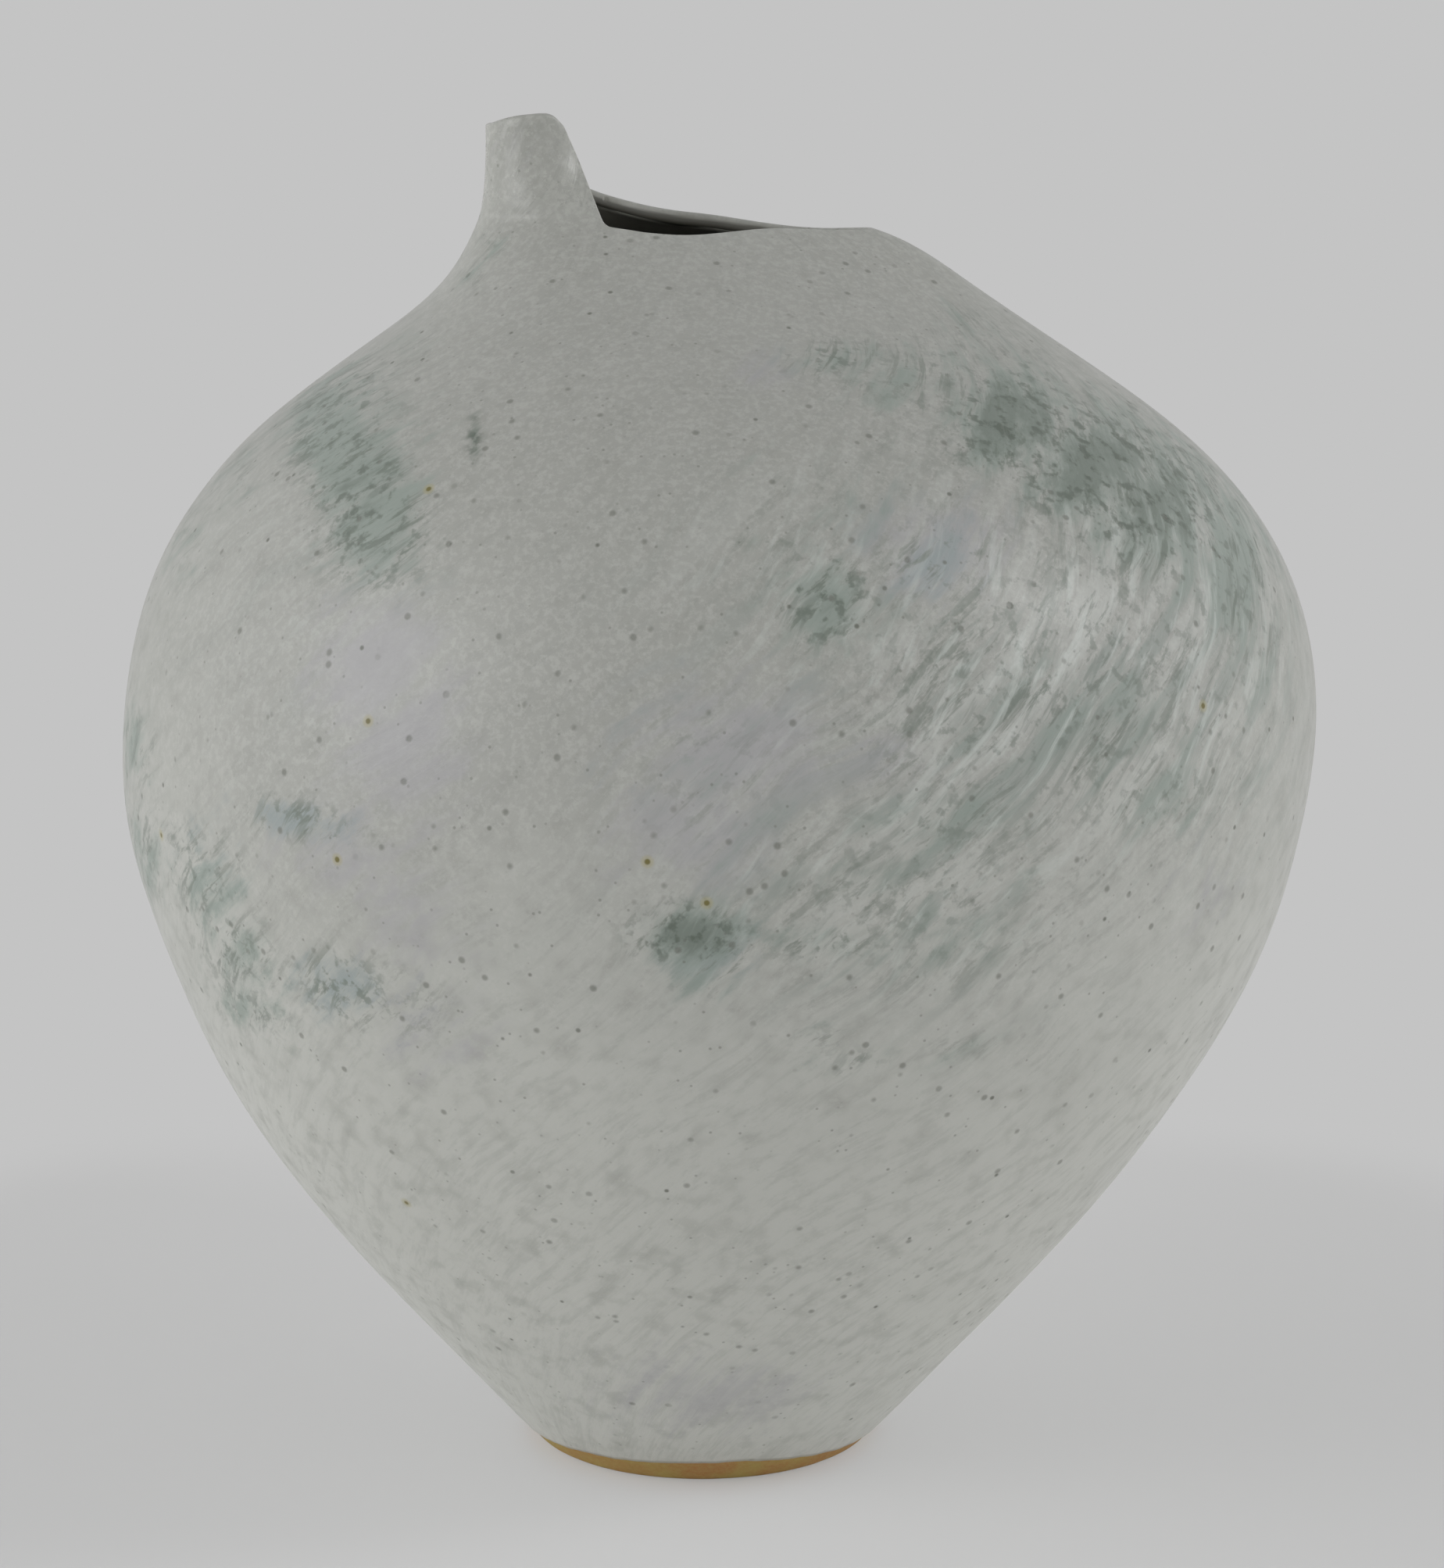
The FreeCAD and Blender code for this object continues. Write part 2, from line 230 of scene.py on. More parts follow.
# Mesh steps
HALF_COLUMNS = 300
BODY_ROWS = 150
FAN_ROWS = 60
LINER_BODY_ROWS = 50
LINER_FAN_ROWS = 30
FAN_START = 232.0
FAN_EASE = 1.7
RIM_STEPS = 12
UNDERSIDE_STEP = 6
PATH_STEPS = 200
CORNER_STEPS = 6
FLOOR_RINGS = 16
EDGE_STEPS = 6
SIDE_STEPS = 10
NORMAL_STEP = 0.02
NORMAL_TURN = 0.0005
PLACE_STEPS = 4000
FILLET_STEPS = 12
SEARCH_REACH = 1.8
SEARCH_STEPS = 40

# Clouds in the glaze on the front: kind, middle x and z, half width, half height, strength
FRONT_CLOUDS = (
    ("deep", 65, 240, 11, 7, 1.0),
    ("deep", 82, 231, 14, 8, 1.0),
    ("deep", 94, 222, 14, 9, 0.9),
    ("deep", -2, 147, 9, 5, 0.9),
    ("deep", 25, 212, 8, 7, 0.5),
    ("deep", 26, 253, 9, 3, 0.25),
    ("deep", -70, 228, 9, 12, 0.5),
    ("deep", -46, 239, 1.6, 4, 0.9),
    ("green", 65, 240, 15, 10, 1.0),
    ("green", 82, 231, 18, 11, 1.0),
    ("green", 95, 221, 19, 13, 1.0),
    ("green", 112, 209, 14, 16, 0.85),
    ("green", 117, 195, 12, 20, 0.5),
    ("green", 25, 211, 11, 10, 0.9),
    ("green", 36, 206, 14, 7, 0.5),
    ("green", 29, 253, 16, 4, 0.6),
    ("green", 47, 249, 28, 8, 0.5),
    ("green", 63, 193, 26, 13, 0.5),
    ("green", 83, 184, 22, 14, 0.6),
    ("green", 55, 183, 16, 9, 0.5),
    ("green", 95, 168, 24, 10, 0.5),
    ("green", 48, 169, 24, 10, 0.55),
    ("green", 31, 158, 24, 9, 0.45),
    ("green", 25, 145, 16, 6, 0.6),
    ("green", 72, 158, 30, 15, 0.35),
    ("green", -2, 147, 13, 8, 0.9),
    ("green", 1, 138, 12, 6, 0.5),
    ("green", -78, 237, 12, 10, 1.0),
    ("green", -82, 242, 24, 13, 0.65),
    ("green", 72, 256, 32, 9, 0.45),
    ("green", 22, 228, 24, 12, 0.3),
    ("green", 2, 178, 24, 22, 0.36),
    ("green", 52, 142, 34, 14, 0.38),
    ("green", 20, 190, 20, 14, 0.28),
    ("green", -71, 230, 14, 11, 0.85),
    ("green", -66, 222, 13, 13, 0.9),
    ("green", -69, 214, 12, 6, 0.45),
    ("green", -101, 227, 10, 13, 0.4),
    ("green", -111, 211, 9, 12, 0.4),
    ("green", -122, 168, 8, 11, 0.6),
    ("green", -120, 145, 9, 13, 0.6),
    ("green", -104, 145, 12, 11, 0.6),
    ("green", -97, 131, 12, 13, 0.6),
    ("green", -95, 118, 13, 9, 0.55),
    ("green", -46, 273, 5, 3, 0.6),
    ("green", -50, 267, 5, 4, 0.45),
    ("green", -63, 253, 10, 6, 0.35),
    ("green", 30, 118, 13, 4, 0.45),
    ("green", 24, 124, 7, 4, 0.4),
    ("green", 53, 119, 11, 5, 0.35),
    ("green", 45, 228, 14, 9, 0.35),
    ("green", 13, 222, 14, 3, 0.4),
    ("green", 41, 239, 14, 8, 0.3),
    ("blue", -81, 164, 14, 5, 0.8),
    ("blue", -73, 129, 12, 9, 0.8),
    ("blue", 48, 218, 15, 10, 0.6),
    ("blue", 2, 143, 12, 8, 0.7),
    ("blue", -60, 128, 12, 12, 0.4),
    ("blue", -105, 150, 14, 12, 0.5),
    ("lilac", -65, 196, 14, 16, 0.9),
    ("lilac", -58, 181, 15, 18, 0.8),
    ("lilac", -73, 160, 16, 12, 0.6),
    ("lilac", -59, 147, 14, 14, 0.6),
    ("lilac", -56, 124, 14, 13, 0.5),
    ("lilac", 7, 184, 22, 13, 0.9),
    ("lilac", -2, 169, 18, 13, 0.8),
    ("lilac", 48, 220, 17, 10, 0.8),
    ("lilac", 37, 183, 14, 11, 0.5),
    ("lilac", 0, 30, 24, 14, 0.7),
    ("lilac", -43, 294, 7, 7, 0.6),
    ("lilac", 14, 251, 9, 5, 0.5),
    ("lilac", 103, 143, 12, 14, 0.35),
    ("belt", 70, 192, 52, 38, 1.0),
    ("belt", 40, 155, 46, 30, 0.7),
    ("belt", 100, 190, 30, 40, 0.8),
    ("belt", 18, 215, 30, 22, 0.5),
    ("belt", -85, 205, 26, 30, 0.3),
)

# Clouds on the back, in the same way
BACK_CLOUDS = (
    ("deep", -52, 228, 14, 9, 0.9),
    ("deep", -70, 216, 12, 9, 0.7),
    ("deep", 40, 150, 10, 7, 0.7),
    ("green", -55, 228, 22, 13, 1.0),
    ("green", -76, 214, 20, 14, 0.9),
    ("green", -98, 196, 16, 18, 0.6),
    ("green", -30, 196, 22, 12, 0.5),
    ("green", 42, 150, 18, 11, 0.8),
    ("green", 84, 176, 20, 16, 0.6),
    ("green", 66, 226, 16, 9, 0.6),
    ("green", -20, 120, 24, 10, 0.45),
    ("green", 110, 140, 12, 18, 0.5),
    ("blue", 20, 190, 20, 12, 0.6),
    ("blue", 60, 130, 16, 10, 0.6),
    ("lilac", -10, 170, 24, 16, 0.8),
    ("lilac", 70, 200, 18, 16, 0.7),
    ("lilac", -60, 150, 20, 16, 0.6),
    ("lilac", 0, 60, 30, 20, 0.5),
    ("belt", -60, 195, 56, 40, 0.9),
    ("belt", 20, 165, 46, 32, 0.6),
)
CLOUD_KINDS = ("deep", "green", "blue", "lilac", "belt")
SIDE_FADE = 18.0

# Painted light and shade on the outer glaze: lighter low down, darker at the shoulder, where less light
# falls from above
PAINTED_LIGHT_TOP = 40.0
PAINTED_SHADE_BASE = 235.0
PAINTED_LIGHT_GREY = (174, 175, 170)
PAINTED_SHADE_GREY = (146, 147, 142)
GREY_SWAY = 0.6
GREY_BLEND = (-0.1, 1.1)

# How rough the glaze is over its smudges, and how much glossier it is on the peak
GLAZE_ROUGHNESS = (0.25, 0.75, 0.33, 0.45)
GLOSS_BASE = 272.0
GLOSS_TOP = 286.0
PEAK_GLOSS = 0.13

# Iron spots: places on the outside, then radius, strength and colour of the halo and of the spot
IRON_SPOTS = (
    (1.5, -126.2, 153.6),
    (-10.2, -126.0, 161.9),
    (-66.5, -104.5, 185.9),
    (-114.7, -57.4, 151.8),
    (-73.2, -104.0, 157.3),
    (-55.1, -82.9, 229.7),
    (103.6, -79.4, 184.1),
    (-62.3, -77.4, 76.6),
)
IRON_RINGS = (
    (1.7, 0.4, (150, 142, 92)),
    (0.8, 0.9, (94, 86, 30)),
)

# The seam of the flow round the vase lies at the back, where the streaks are calm
FLOW_RADIUS = 115.0
CALM_START = 150.0
CALM_END = 176.0

# Streaks on the surface: size, lean in degrees, stretch, bend, detail and roughness
BAND_STREAKS = (6.0, 47, 9, 16, 4, 0.58)
FINE_STREAKS = (2.6, 46, 5, 12, 5, 0.68)
STRAND_STREAKS = (2.4, 34, 9, 16, 4, 0.6)
BEND_SIZE = 55.0

# Noise with patches: size, detail and roughness
SPOT_NOISE = (3.4, 3, 0.6)
SMUDGE_NOISE = (6.0, 5, 0.68)
GRAIN_NOISE = (1.5, 4, 0.7)
CLOUD_NOISE = (48.0, 3, 0.55)
LINER_CLOUD_NOISE = (14.0, 4, 0.55)
LINER_DIMPLE_NOISE = (6.0, 3, 0.55)
CLAY_CLOUD_NOISE = (12.0, 3, 0.55)
CLAY_GRAIN_NOISE = (1.2, 4, 0.7)

# Layers of colour: where a pattern starts to show, where it is full, the share it then covers, and
# the colour in eight-bit screen values
SMUDGE_LAYER = (0.48, 0.7, 0.5, (134, 135, 129))
FINE_LAYER = (0.54, 0.34, 0.36, (136, 138, 133))
GRAIN_LAYER = (0.42, 0.66, 0.4, (174, 174, 170))
BAND_LIGHT = (0.5, 0.64, 0.4, (175, 178, 174))
BAND_DUSK = (0.5, 0.36, 0.75, (128, 135, 130))
CLOUD_LAYERS = (
    ("lilac", (0.15, 0.9, 0.7, (149, 148, 151))),
    ("blue", (0.3, 0.9, 0.8, (130, 140, 140))),
    ("green", (0.25, 0.85, 0.85, (128, 138, 131))),
    ("deep", (0.35, 1.0, 0.8, (101, 110, 102))),
)
FINE_STAIN = (0.47, 0.36, 0.85, (99, 108, 99))
SPOT_STAIN = (0.54, 0.66, 0.75, (103, 111, 103))
STRAND_STAIN = (0.46, 0.35, 0.65, (111, 119, 112))
DARK_STAIN = (0.5, 0.64, 0.85, (74, 83, 73))
PALE_STRAND = (0.52, 0.7, 0.55, (184, 189, 185))
CLAY_GRAIN_LAYER = (0.3, 0.75, 0.5, (161, 142, 85))

# How far fine streaks, smudges and bands tear the clouds, and where clouds and their stains fade in
CLOUD_TEARS = (1.0, 0.9, -1.5)
CLOUD_EDGE = (0.02, 0.2)
BELT_STAIN = 0.6
STAIN_EDGE = (0.08, 0.75)

# Pits in the glaze: their spacing, the shares of it at which a pit starts and is full, then the
# range in which a point has one, and its strength
PITS = (
    (5.2, (0.196, 0.07), (0.45, 0.7), 0.6),
    (6.5, (0.112, 0.04), (0.5, 0.75), 0.9),
    (2.7, (0.168, 0.06), (0.45, 0.7), 0.5),
)
PIT_GREY = (92, 94, 86)

# The rim's wear, and the painted shade on its inner face
RIM_WEAR_MOST = 0.5
RIM_WEAR_PATCHES = (0.35, 0.6, 0.35, 1.0)
WORN_RIM = (112, 110, 98)
RIM_PAINTED_SHADE = (84, 83, 76)

# The coat on the inside and the bare clay
LINER_GREYS = ((156, 155, 147), (164, 162, 154))
LINER_RIM = (162, 161, 152)
LINER_RIM_SWAY = 0.5
LINER_RIM_EDGE = (0.1, 0.9)
LINER_ROUGHNESS = 0.35
CLAYS = ((148, 130, 67), (147, 103, 54))
CLAY_ROUGHNESS = 0.85
PATCH_EDGE = (0.3, 0.7)

# Relief of the surfaces
BAND_RELIEF = 0.2
FINE_RELIEF = 0.08
GRAIN_RELIEF = 0.03
PIT_RELIEF = 0.1
LINER_RELIEF = 0.3
CLAY_RELIEF = 0.15


def blend(low, high, share):
    return low + (high - low) * share


def natural_spline(at, values):
    """Second derivatives of a natural cubic spline through rows of values."""
    count = len(at)
    matrix = np.eye(count)
    right = np.zeros_like(values)
    for i in range(1, count - 1):
        before = at[i] - at[i - 1]
        after = at[i + 1] - at[i]
        matrix[i, i - 1] = before
        matrix[i, i] = 2 * (before + after)
        matrix[i, i + 1] = after
        slope = (values[i + 1] - values[i]) / after - (values[i] - values[i - 1]) / before
        right[i] = 6 * slope
    return np.linalg.solve(matrix, right)


class Spline:
    """A natural cubic spline through rows of numbers at rising places."""

    def __init__(self, at, rows):
        self.at = np.array(at)
        self.rows = np.array(rows)
        self.second = natural_spline(self.at, self.rows)

    def value(self, place):
        place = np.asarray(place, dtype=float)
        i = np.clip(np.searchsorted(self.at, place) - 1, 0, len(self.at) - 2)
        span = (self.at[i + 1] - self.at[i])[..., None]
        b = (place[..., None] - self.at[i][..., None]) / span
        a = 1 - b
        bow = (a ** 3 - a) * self.second[i] + (b ** 3 - b) * self.second[i + 1]
        return a * self.rows[i] + b * self.rows[i + 1] + bow * span ** 2 / 6


def stations():
    """Rows of height, left, right, front, back, middle and taper, from the foot to above the peak."""
    rows = []
    for height, left, right, front, back in LOWER_SHARES:
        rows.append([
            BELLY_HEIGHT * height,
            -blend(FOOT_RADIUS, BELLY_LEFT, left),
            blend(FOOT_RADIUS, BELLY_RIGHT, right),
            -blend(FOOT_RADIUS, BELLY_FRONT, front),
            blend(FOOT_RADIUS, BELLY_BACK, back),
            0.0,
            0.0,
        ])
    for height, left, right, front, back, shift, taper in UPPER_SHARES:
        rows.append([
            blend(BELLY_HEIGHT, LIP_HEIGHT, height),
            -blend(MOUTH_LEFT, BELLY_LEFT, left),
            blend(MOUTH_RIGHT, BELLY_RIGHT, right),
            -blend(MOUTH_FRONT, BELLY_FRONT, front),
            blend(MOUTH_BACK, BELLY_BACK, back),
            -MOUTH_SHIFT * shift,
            taper,
        ])
    curl_right = CURL_MIDDLE + CURL_RIGHT_RADIUS
    for height, left, right, front, back, shift, taper in CURL_SHARES:
        rows.append([
            blend(LIP_HEIGHT, PEAK_HEIGHT, height),
            -blend(CURL_LEFT_REACH, MOUTH_LEFT, left),
            blend(curl_right, MOUTH_RIGHT, right),
            -blend(CURL_DEPTH, MOUTH_FRONT, front),
            blend(CURL_DEPTH, MOUTH_BACK, back),
            blend(CURL_MIDDLE, -MOUTH_SHIFT, shift),
            taper,
        ])
    return rows


def form_spline():
    """The form's spline, with places that run along the wall."""
    rows = stations()
    at = [0.0]
    for before, after in zip(rows, rows[1:]):
        rise = after[0] - before[0]
        run = (after[1] - before[1] - after[2] + before[2]) / 2
        at.append(at[-1] + math.hypot(rise, run))
    return Spline(at, rows)


FORM = form_spline()
PLACES = np.linspace(0, FORM.at[-1], PLACE_STEPS)
PLACE_HEIGHTS = FORM.value(PLACES)[:, 0]


def place_at(height):
    """The place along the form where it reaches a height."""
    return np.interp(height, PLACE_HEIGHTS, PLACES)


def section_point(place, angle):
    """The outer form's point at a place and a section angle."""
    place, angle = np.broadcast_arrays(place, angle)
    row = FORM.value(place)
    height, left, right, front, back, middle = (row[..., i] for i in range(6))
    taper = np.maximum(row[..., 6], 0)
    along = np.cos(angle)
    aside = np.sin(angle)
    narrowing = 1 - taper * np.maximum(along, 0) ** 2
    x = middle + np.where(along > 0, right - middle, middle - left) * along
    y = np.where(aside > 0, back, -front) * aside * narrowing
    return np.stack([x, y, height], -1)


def section_angle(place, turn):
    """The section angle at which a place's section lies at a turn about the curl's axis."""
    low = turn - SEARCH_REACH
    high = turn + SEARCH_REACH
    for _ in range(SEARCH_STEPS):
        middle = (low + high) / 2
        point = section_point(place, middle)
        seen = np.arctan2(point[..., 1], point[..., 0] - CURL_MIDDLE)
        ahead = (seen - turn + math.pi) % (2 * math.pi) - math.pi > 0
        high = np.where(ahead, middle, high)
        low = np.where(ahead, low, middle)
    return (low + high) / 2


def unit(vectors):
    return vectors / np.linalg.norm(vectors, axis=-1, keepdims=True)


def normal(place, angle):
    """The outer form's outward normal."""
    up = section_point(place + NORMAL_STEP, angle) - section_point(place - NORMAL_STEP, angle)
    around = section_point(place, angle + NORMAL_TURN) - section_point(place, angle - NORMAL_TURN)
    return unit(np.cross(around, up))


def full_depth(height):
    """The thickness of wall and coats together."""
    low = blend(WALL_AT_FOOT, WALL_AT_BELLY, height / BELLY_HEIGHT)
    share = np.clip((height - BELLY_HEIGHT) / SHOULDER_RISE, 0, 1)
    high = blend(WALL_AT_BELLY, WALL_AT_LIP, share)
    return np.where(height < BELLY_HEIGHT, low, high) + GLAZE_THICKNESS + LINER_THICKNESS


def fillet(before, corner, after, radius):
    """Points of the arc that rounds a corner of a path in the XZ plane."""
    back = unit(before - corner)
    ahead = unit(after - corner)
    half = math.acos(float(np.dot(back, ahead))) / 2
    centre = corner + unit(back + ahead) * radius / math.sin(half)
    start = corner + back * radius / math.tan(half) - centre
    end = corner + ahead * radius / math.tan(half) - centre
    shares = np.linspace(0, 1, FILLET_STEPS)[:, None]
    return centre + unit(start * (1 - shares) + end * shares) * radius


def angle_at(x, place):
    """The section angle, on the back half, at which a section reaches x."""
    row = FORM.value(place)
    left, right, middle = row[..., 1], row[..., 2], row[..., 5]
    reach = np.where(x > middle, right - middle, middle - left)
    return np.arccos(np.clip((x - middle) / reach, -1, 1))


def rim_half(path):
    """Places and section angles along one half of the rim, evenly spaced by length."""
    path = np.array(path)
    places = place_at(path[:, 1])
    angles = angle_at(path[:, 0], places)
    start = np.linspace(0, angles[0], PATH_STEPS)[:-1]
    end = np.linspace(angles[-1], math.pi, PATH_STEPS)[1:]
    angles = np.concatenate([start, angles, end])
    places = np.concatenate([start * 0 + places[0], places, end * 0 + places[-1]])
    points = section_point(places, angles)
    steps = np.linalg.norm(np.diff(points, axis=0), axis=1)
    run = np.concatenate([[0], np.cumsum(steps)])
    even = np.linspace(0, run[-1], HALF_COLUMNS + 1)
    return np.interp(even, run, places), np.interp(even, run, angles)


def lip_points(end, shares):
    """Points in the XZ plane along the swaying lip, from the right end of the mouth to an end."""
    return [[blend(MOUTH_RIGHT, end, run), LIP_HEIGHT + LIP_SWAY * rise] for run, rise in shares]


def smooth_path(points):
    """Many points along a curve through points that run to the left."""
    points = np.array(points)
    curve = Spline(-points[:, 0], points)
    return curve.value(np.linspace(-points[0, 0], -points[-1, 0], PATH_STEPS))


def rim_curve():
    """Places and section angles of the whole rim, from the right round the back."""
    end = -CURL_LEFT_REACH
    low = PEAK_HEIGHT - PEAK_FALL
    lip = lip_points(-PEAK_ROOT_REACH, FRONT_LIP_SHARES)
    crest = []
    for run, rise in CREST_SHARES:
        crest.append([blend(-PEAK_EDGE_REACH, end, run), blend(low, PEAK_HEIGHT, rise)])
    before_root, root, crest_start = np.array([lip[-2], lip[-1], crest[0]])
    slant_end = blend(root, crest_start, PEAK_SLANT_END)
    arc = fillet(before_root, root, crest_start, ROOT_FILLET)
    slant = blend(arc[-1], slant_end, np.linspace(0, 1, PATH_STEPS)[1:-1, None])
    front = np.concatenate([smooth_path(lip[:-1]), arc, slant, smooth_path([slant_end.tolist()] + crest)])
    front_places, front_angles = rim_half(front)
    back = lip_points(BACK_RISE_START, BACK_LIP_SHARES)
    for run, rise in BACK_SWEEP_SHARES:
        back.append([blend(BACK_RISE_START, end, run), blend(LIP_HEIGHT, low, rise)])
    back_places, back_angles = rim_half(smooth_path(back))
    places = np.concatenate([back_places[:-1], front_places[:0:-1]])
    angles = np.concatenate([back_angles[:-1], 2 * math.pi - front_angles[:0:-1]])
    return places, angles


def turn_about_curl(points):
    """The turn about the curl's axis, from zero at the right, within half a turn of the column's angle."""
    turn = np.arctan2(points[:, 1], points[:, 0] - CURL_MIDDLE)
    return COLUMN_ANGLES + (turn - COLUMN_ANGLES + math.pi) % (2 * math.pi) - math.pi


def ripples(points, seed, longest, shortest, count=WAVE_COUNT):
    """A smooth value from 0 to 1 at each point, the sum of plane waves in many directions."""
    generator = np.random.default_rng(seed)
    total = np.zeros(points.shape[:-1])
    weight = 0.0
    for _ in range(count):
        length = shortest * (longest / shortest) ** generator.random()
        heading = unit(generator.normal(size=3))
        phase = generator.random() * 2 * math.pi
        total += length * np.sin(points @ heading * 2 * math.pi / length + phase)
        weight += length ** 2
    return np.clip(0.5 + total / math.sqrt(weight) / WAVE_SPREAD, 0, 1)


COLUMN_ANGLES = np.arange(2 * HALF_COLUMNS) * math.pi / HALF_COLUMNS
RIM_PLACES, RIM_ANGLES = rim_curve()
RIM_POINTS = section_point(RIM_PLACES, RIM_ANGLES)
RIM_RUN = np.roll(RIM_POINTS, -1, axis=0) - np.roll(RIM_POINTS, 1, axis=0)
RIM_NORMALS = normal(RIM_PLACES, RIM_ANGLES)
RIM_OUTWARD = unit(np.cross(RIM_NORMALS, RIM_RUN))
RIM_RIPPLES = ripples(RIM_POINTS, *RIM_SWELL_WAVES)
RIM_THICKNESS = full_depth(RIM_POINTS[:, 2]) * (1 + RIM_SWELL * (RIM_RIPPLES - 0.5))
EDGE_POINTS = RIM_POINTS - RIM_OUTWARD * RIM_ROUND
EDGE_PLACES = place_at(EDGE_POINTS[:, 2])
EDGE_TURNS = turn_about_curl(EDGE_POINTS)
FAN_PLACE = place_at(FAN_START)
FAN_TURNS = turn_about_curl(section_point(FAN_PLACE, COLUMN_ANGLES))
FAN_LENGTHS = np.linalg.norm(EDGE_POINTS - section_point(FAN_PLACE, COLUMN_ANGLES), axis=1)


def fan_row(share):
    """Places and section angles of a row of columns between the shoulder and the rim."""
    share = np.broadcast_to(share, EDGE_PLACES.shape)
    places = blend(FAN_PLACE, EDGE_PLACES, share)
    turns = blend(FAN_TURNS, EDGE_TURNS, share ** FAN_EASE)
    return places, section_angle(places, turns)


def sheet_row(places, angles, depth):
    """A row of points at a depth inside the outer form."""
    points = section_point(places, angles)
    return points - normal(places, angles) * np.asarray(depth)[..., None]


def glaze_line_heights():
    """The height of the outer glaze's lower edge at each column."""
    angles, heights = np.array(GLAZE_LINE).T
    copies = np.concatenate([angles[:-1] - 360, angles, angles[1:] + 360])
    values = np.concatenate([heights[:-1], heights, heights[1:]])
    line = Spline(copies, values[:, None]).value(np.degrees(COLUMN_ANGLES))[:, 0]
    ring = section_point(np.zeros(len(COLUMN_ANGLES)), COLUMN_ANGLES)
    return line + GLAZE_LINE_RIPPLE * (2 * ripples(ring, *GLAZE_LINE_WAVES) - 1)


def make_piece(name, rows, start=None, end=None, closed=False):
    """A mesh from rows of points round the vase, with a point at either end or joined into a ring."""
    count, columns = rows.shape[:2]
    index = np.arange(count * columns).reshape(count, columns)
    above = np.roll(index, -1, axis=0)
    quads = np.stack([index, np.roll(index, -1, 1), np.roll(above, -1, 1), above], -1)
    quads = quads if closed else quads[:-1]
    faces = quads.reshape(-1, 4).tolist()
    points = [rows.reshape(-1, 3)]
    if start is not None:
        tip = count * columns
        points.append(np.array([start]))
        faces += [[tip, b, a] for a, b in zip(index[0].tolist(), np.roll(index[0], -1).tolist())]
    if end is not None:
        tip = count * columns + len(points) - 1
        points.append(np.array([end]))
        faces += [[tip, a, b] for a, b in zip(index[-1].tolist(), np.roll(index[-1], -1).tolist())]
    mesh = bpy.data.meshes.new(name)
    mesh.from_pydata((np.concatenate(points) * MM).tolist(), [], faces)
    mesh.polygons.foreach_set("use_smooth", np.ones(len(mesh.polygons), bool))
    mesh.update()
    piece = bpy.data.objects.new(name, mesh)
    bpy.context.scene.collection.objects.link(piece)
    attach(piece, "root")
    return piece


def glaze_skin():
    """The outer coat with the rim: up the outside, over the rim, and back down behind the coat."""
    low = place_at(glaze_line_heights())
    places = []
    angles = []
    for share in np.linspace(0, 1, BODY_ROWS + 1)[:-1]:
        places.append(blend(low, FAN_PLACE, share))
        angles.append(COLUMN_ANGLES)
    for step in range(FAN_ROWS + 1):
        fan = fan_row(step / FAN_ROWS)
        places.append(fan[0])
        angles.append(fan[1])
    places = np.array(places)
    angles = np.array(angles)
    outer = section_point(places, angles)
    outward = normal(places, angles)
    to_line = np.linalg.norm(outer - outer[0], axis=-1)
    below_collar = np.clip((COLLAR_BASE - outer[..., 2]) / WOBBLE_FADE, 0, 1)
    above_line = np.clip(to_line / WOBBLE_FADE, 0, 1)
    free = below_collar * above_line
    fade = free ** 2 * (3 - 2 * free)
    hollow = WOBBLE_DEPTH * ripples(outer, *WOBBLE_WAVES, WOBBLE_WAVE_COUNT) * fade
    roll = np.clip(1 - to_line / GLAZE_EDGE_ROLL, 0, 1) ** 2 * GLAZE_THICKNESS / 2
    skin = outer - outward * (hollow + roll)[..., None]

    edge = skin[-1]
    edge_normal = outward[-1]
    across = unit(RIM_OUTWARD - edge_normal * (RIM_OUTWARD * edge_normal).sum(-1, keepdims=True))
    half = RIM_THICKNESS[:, None] / 2
    centre = edge - edge_normal * half
    rim = []
    for step in range(1, RIM_STEPS):
        turn = math.pi * step / RIM_STEPS
        rim.append(centre + half * math.cos(turn) * edge_normal + RIM_ROUND * math.sin(turn) * across)

    band_width = RIM_BAND + RIM_BAND_RIPPLE * (2 * ripples(RIM_POINTS, *RIM_BAND_WAVES) - 1)
    drip = np.exp(-((RIM_POINTS[:, 0] - RIM_DRIP_REACH) / RIM_DRIP_WIDTH) ** 2)
    band_width = band_width + RIM_DRIP * drip * (RIM_POINTS[:, 1] > 0)
    band_share = band_width / FAN_LENGTHS
    band = []
    for share in BAND_SHARES:
        spots = fan_row(1 - band_share * share)
        band.append(sheet_row(*spots, RIM_THICKNESS + RIM_BAND_PROUD * share))
    spots = fan_row(1 - band_share)
    band.append(sheet_row(*spots, RIM_THICKNESS - LINER_THICKNESS / 4))
    band.append(sheet_row(*spots, RIM_THICKNESS - LINER_THICKNESS))

    behind = []
    for row in range(len(places) - 1 - UNDERSIDE_STEP, 0, -UNDERSIDE_STEP):
        height = outer[row][:, 2]
        collar = np.clip((height - COLLAR_BASE) / COLLAR_STEP, 0, 1)
        depth = blend(GLAZE_THICKNESS, full_depth(height) - LINER_THICKNESS, collar)
        behind.append(sheet_row(places[row], angles[row], depth))
    last = sheet_row(places[0], angles[0], np.full(COLUMN_ANGLES.shape, GLAZE_THICKNESS))
    return np.concatenate([skin, rim, band, behind, last[None]])


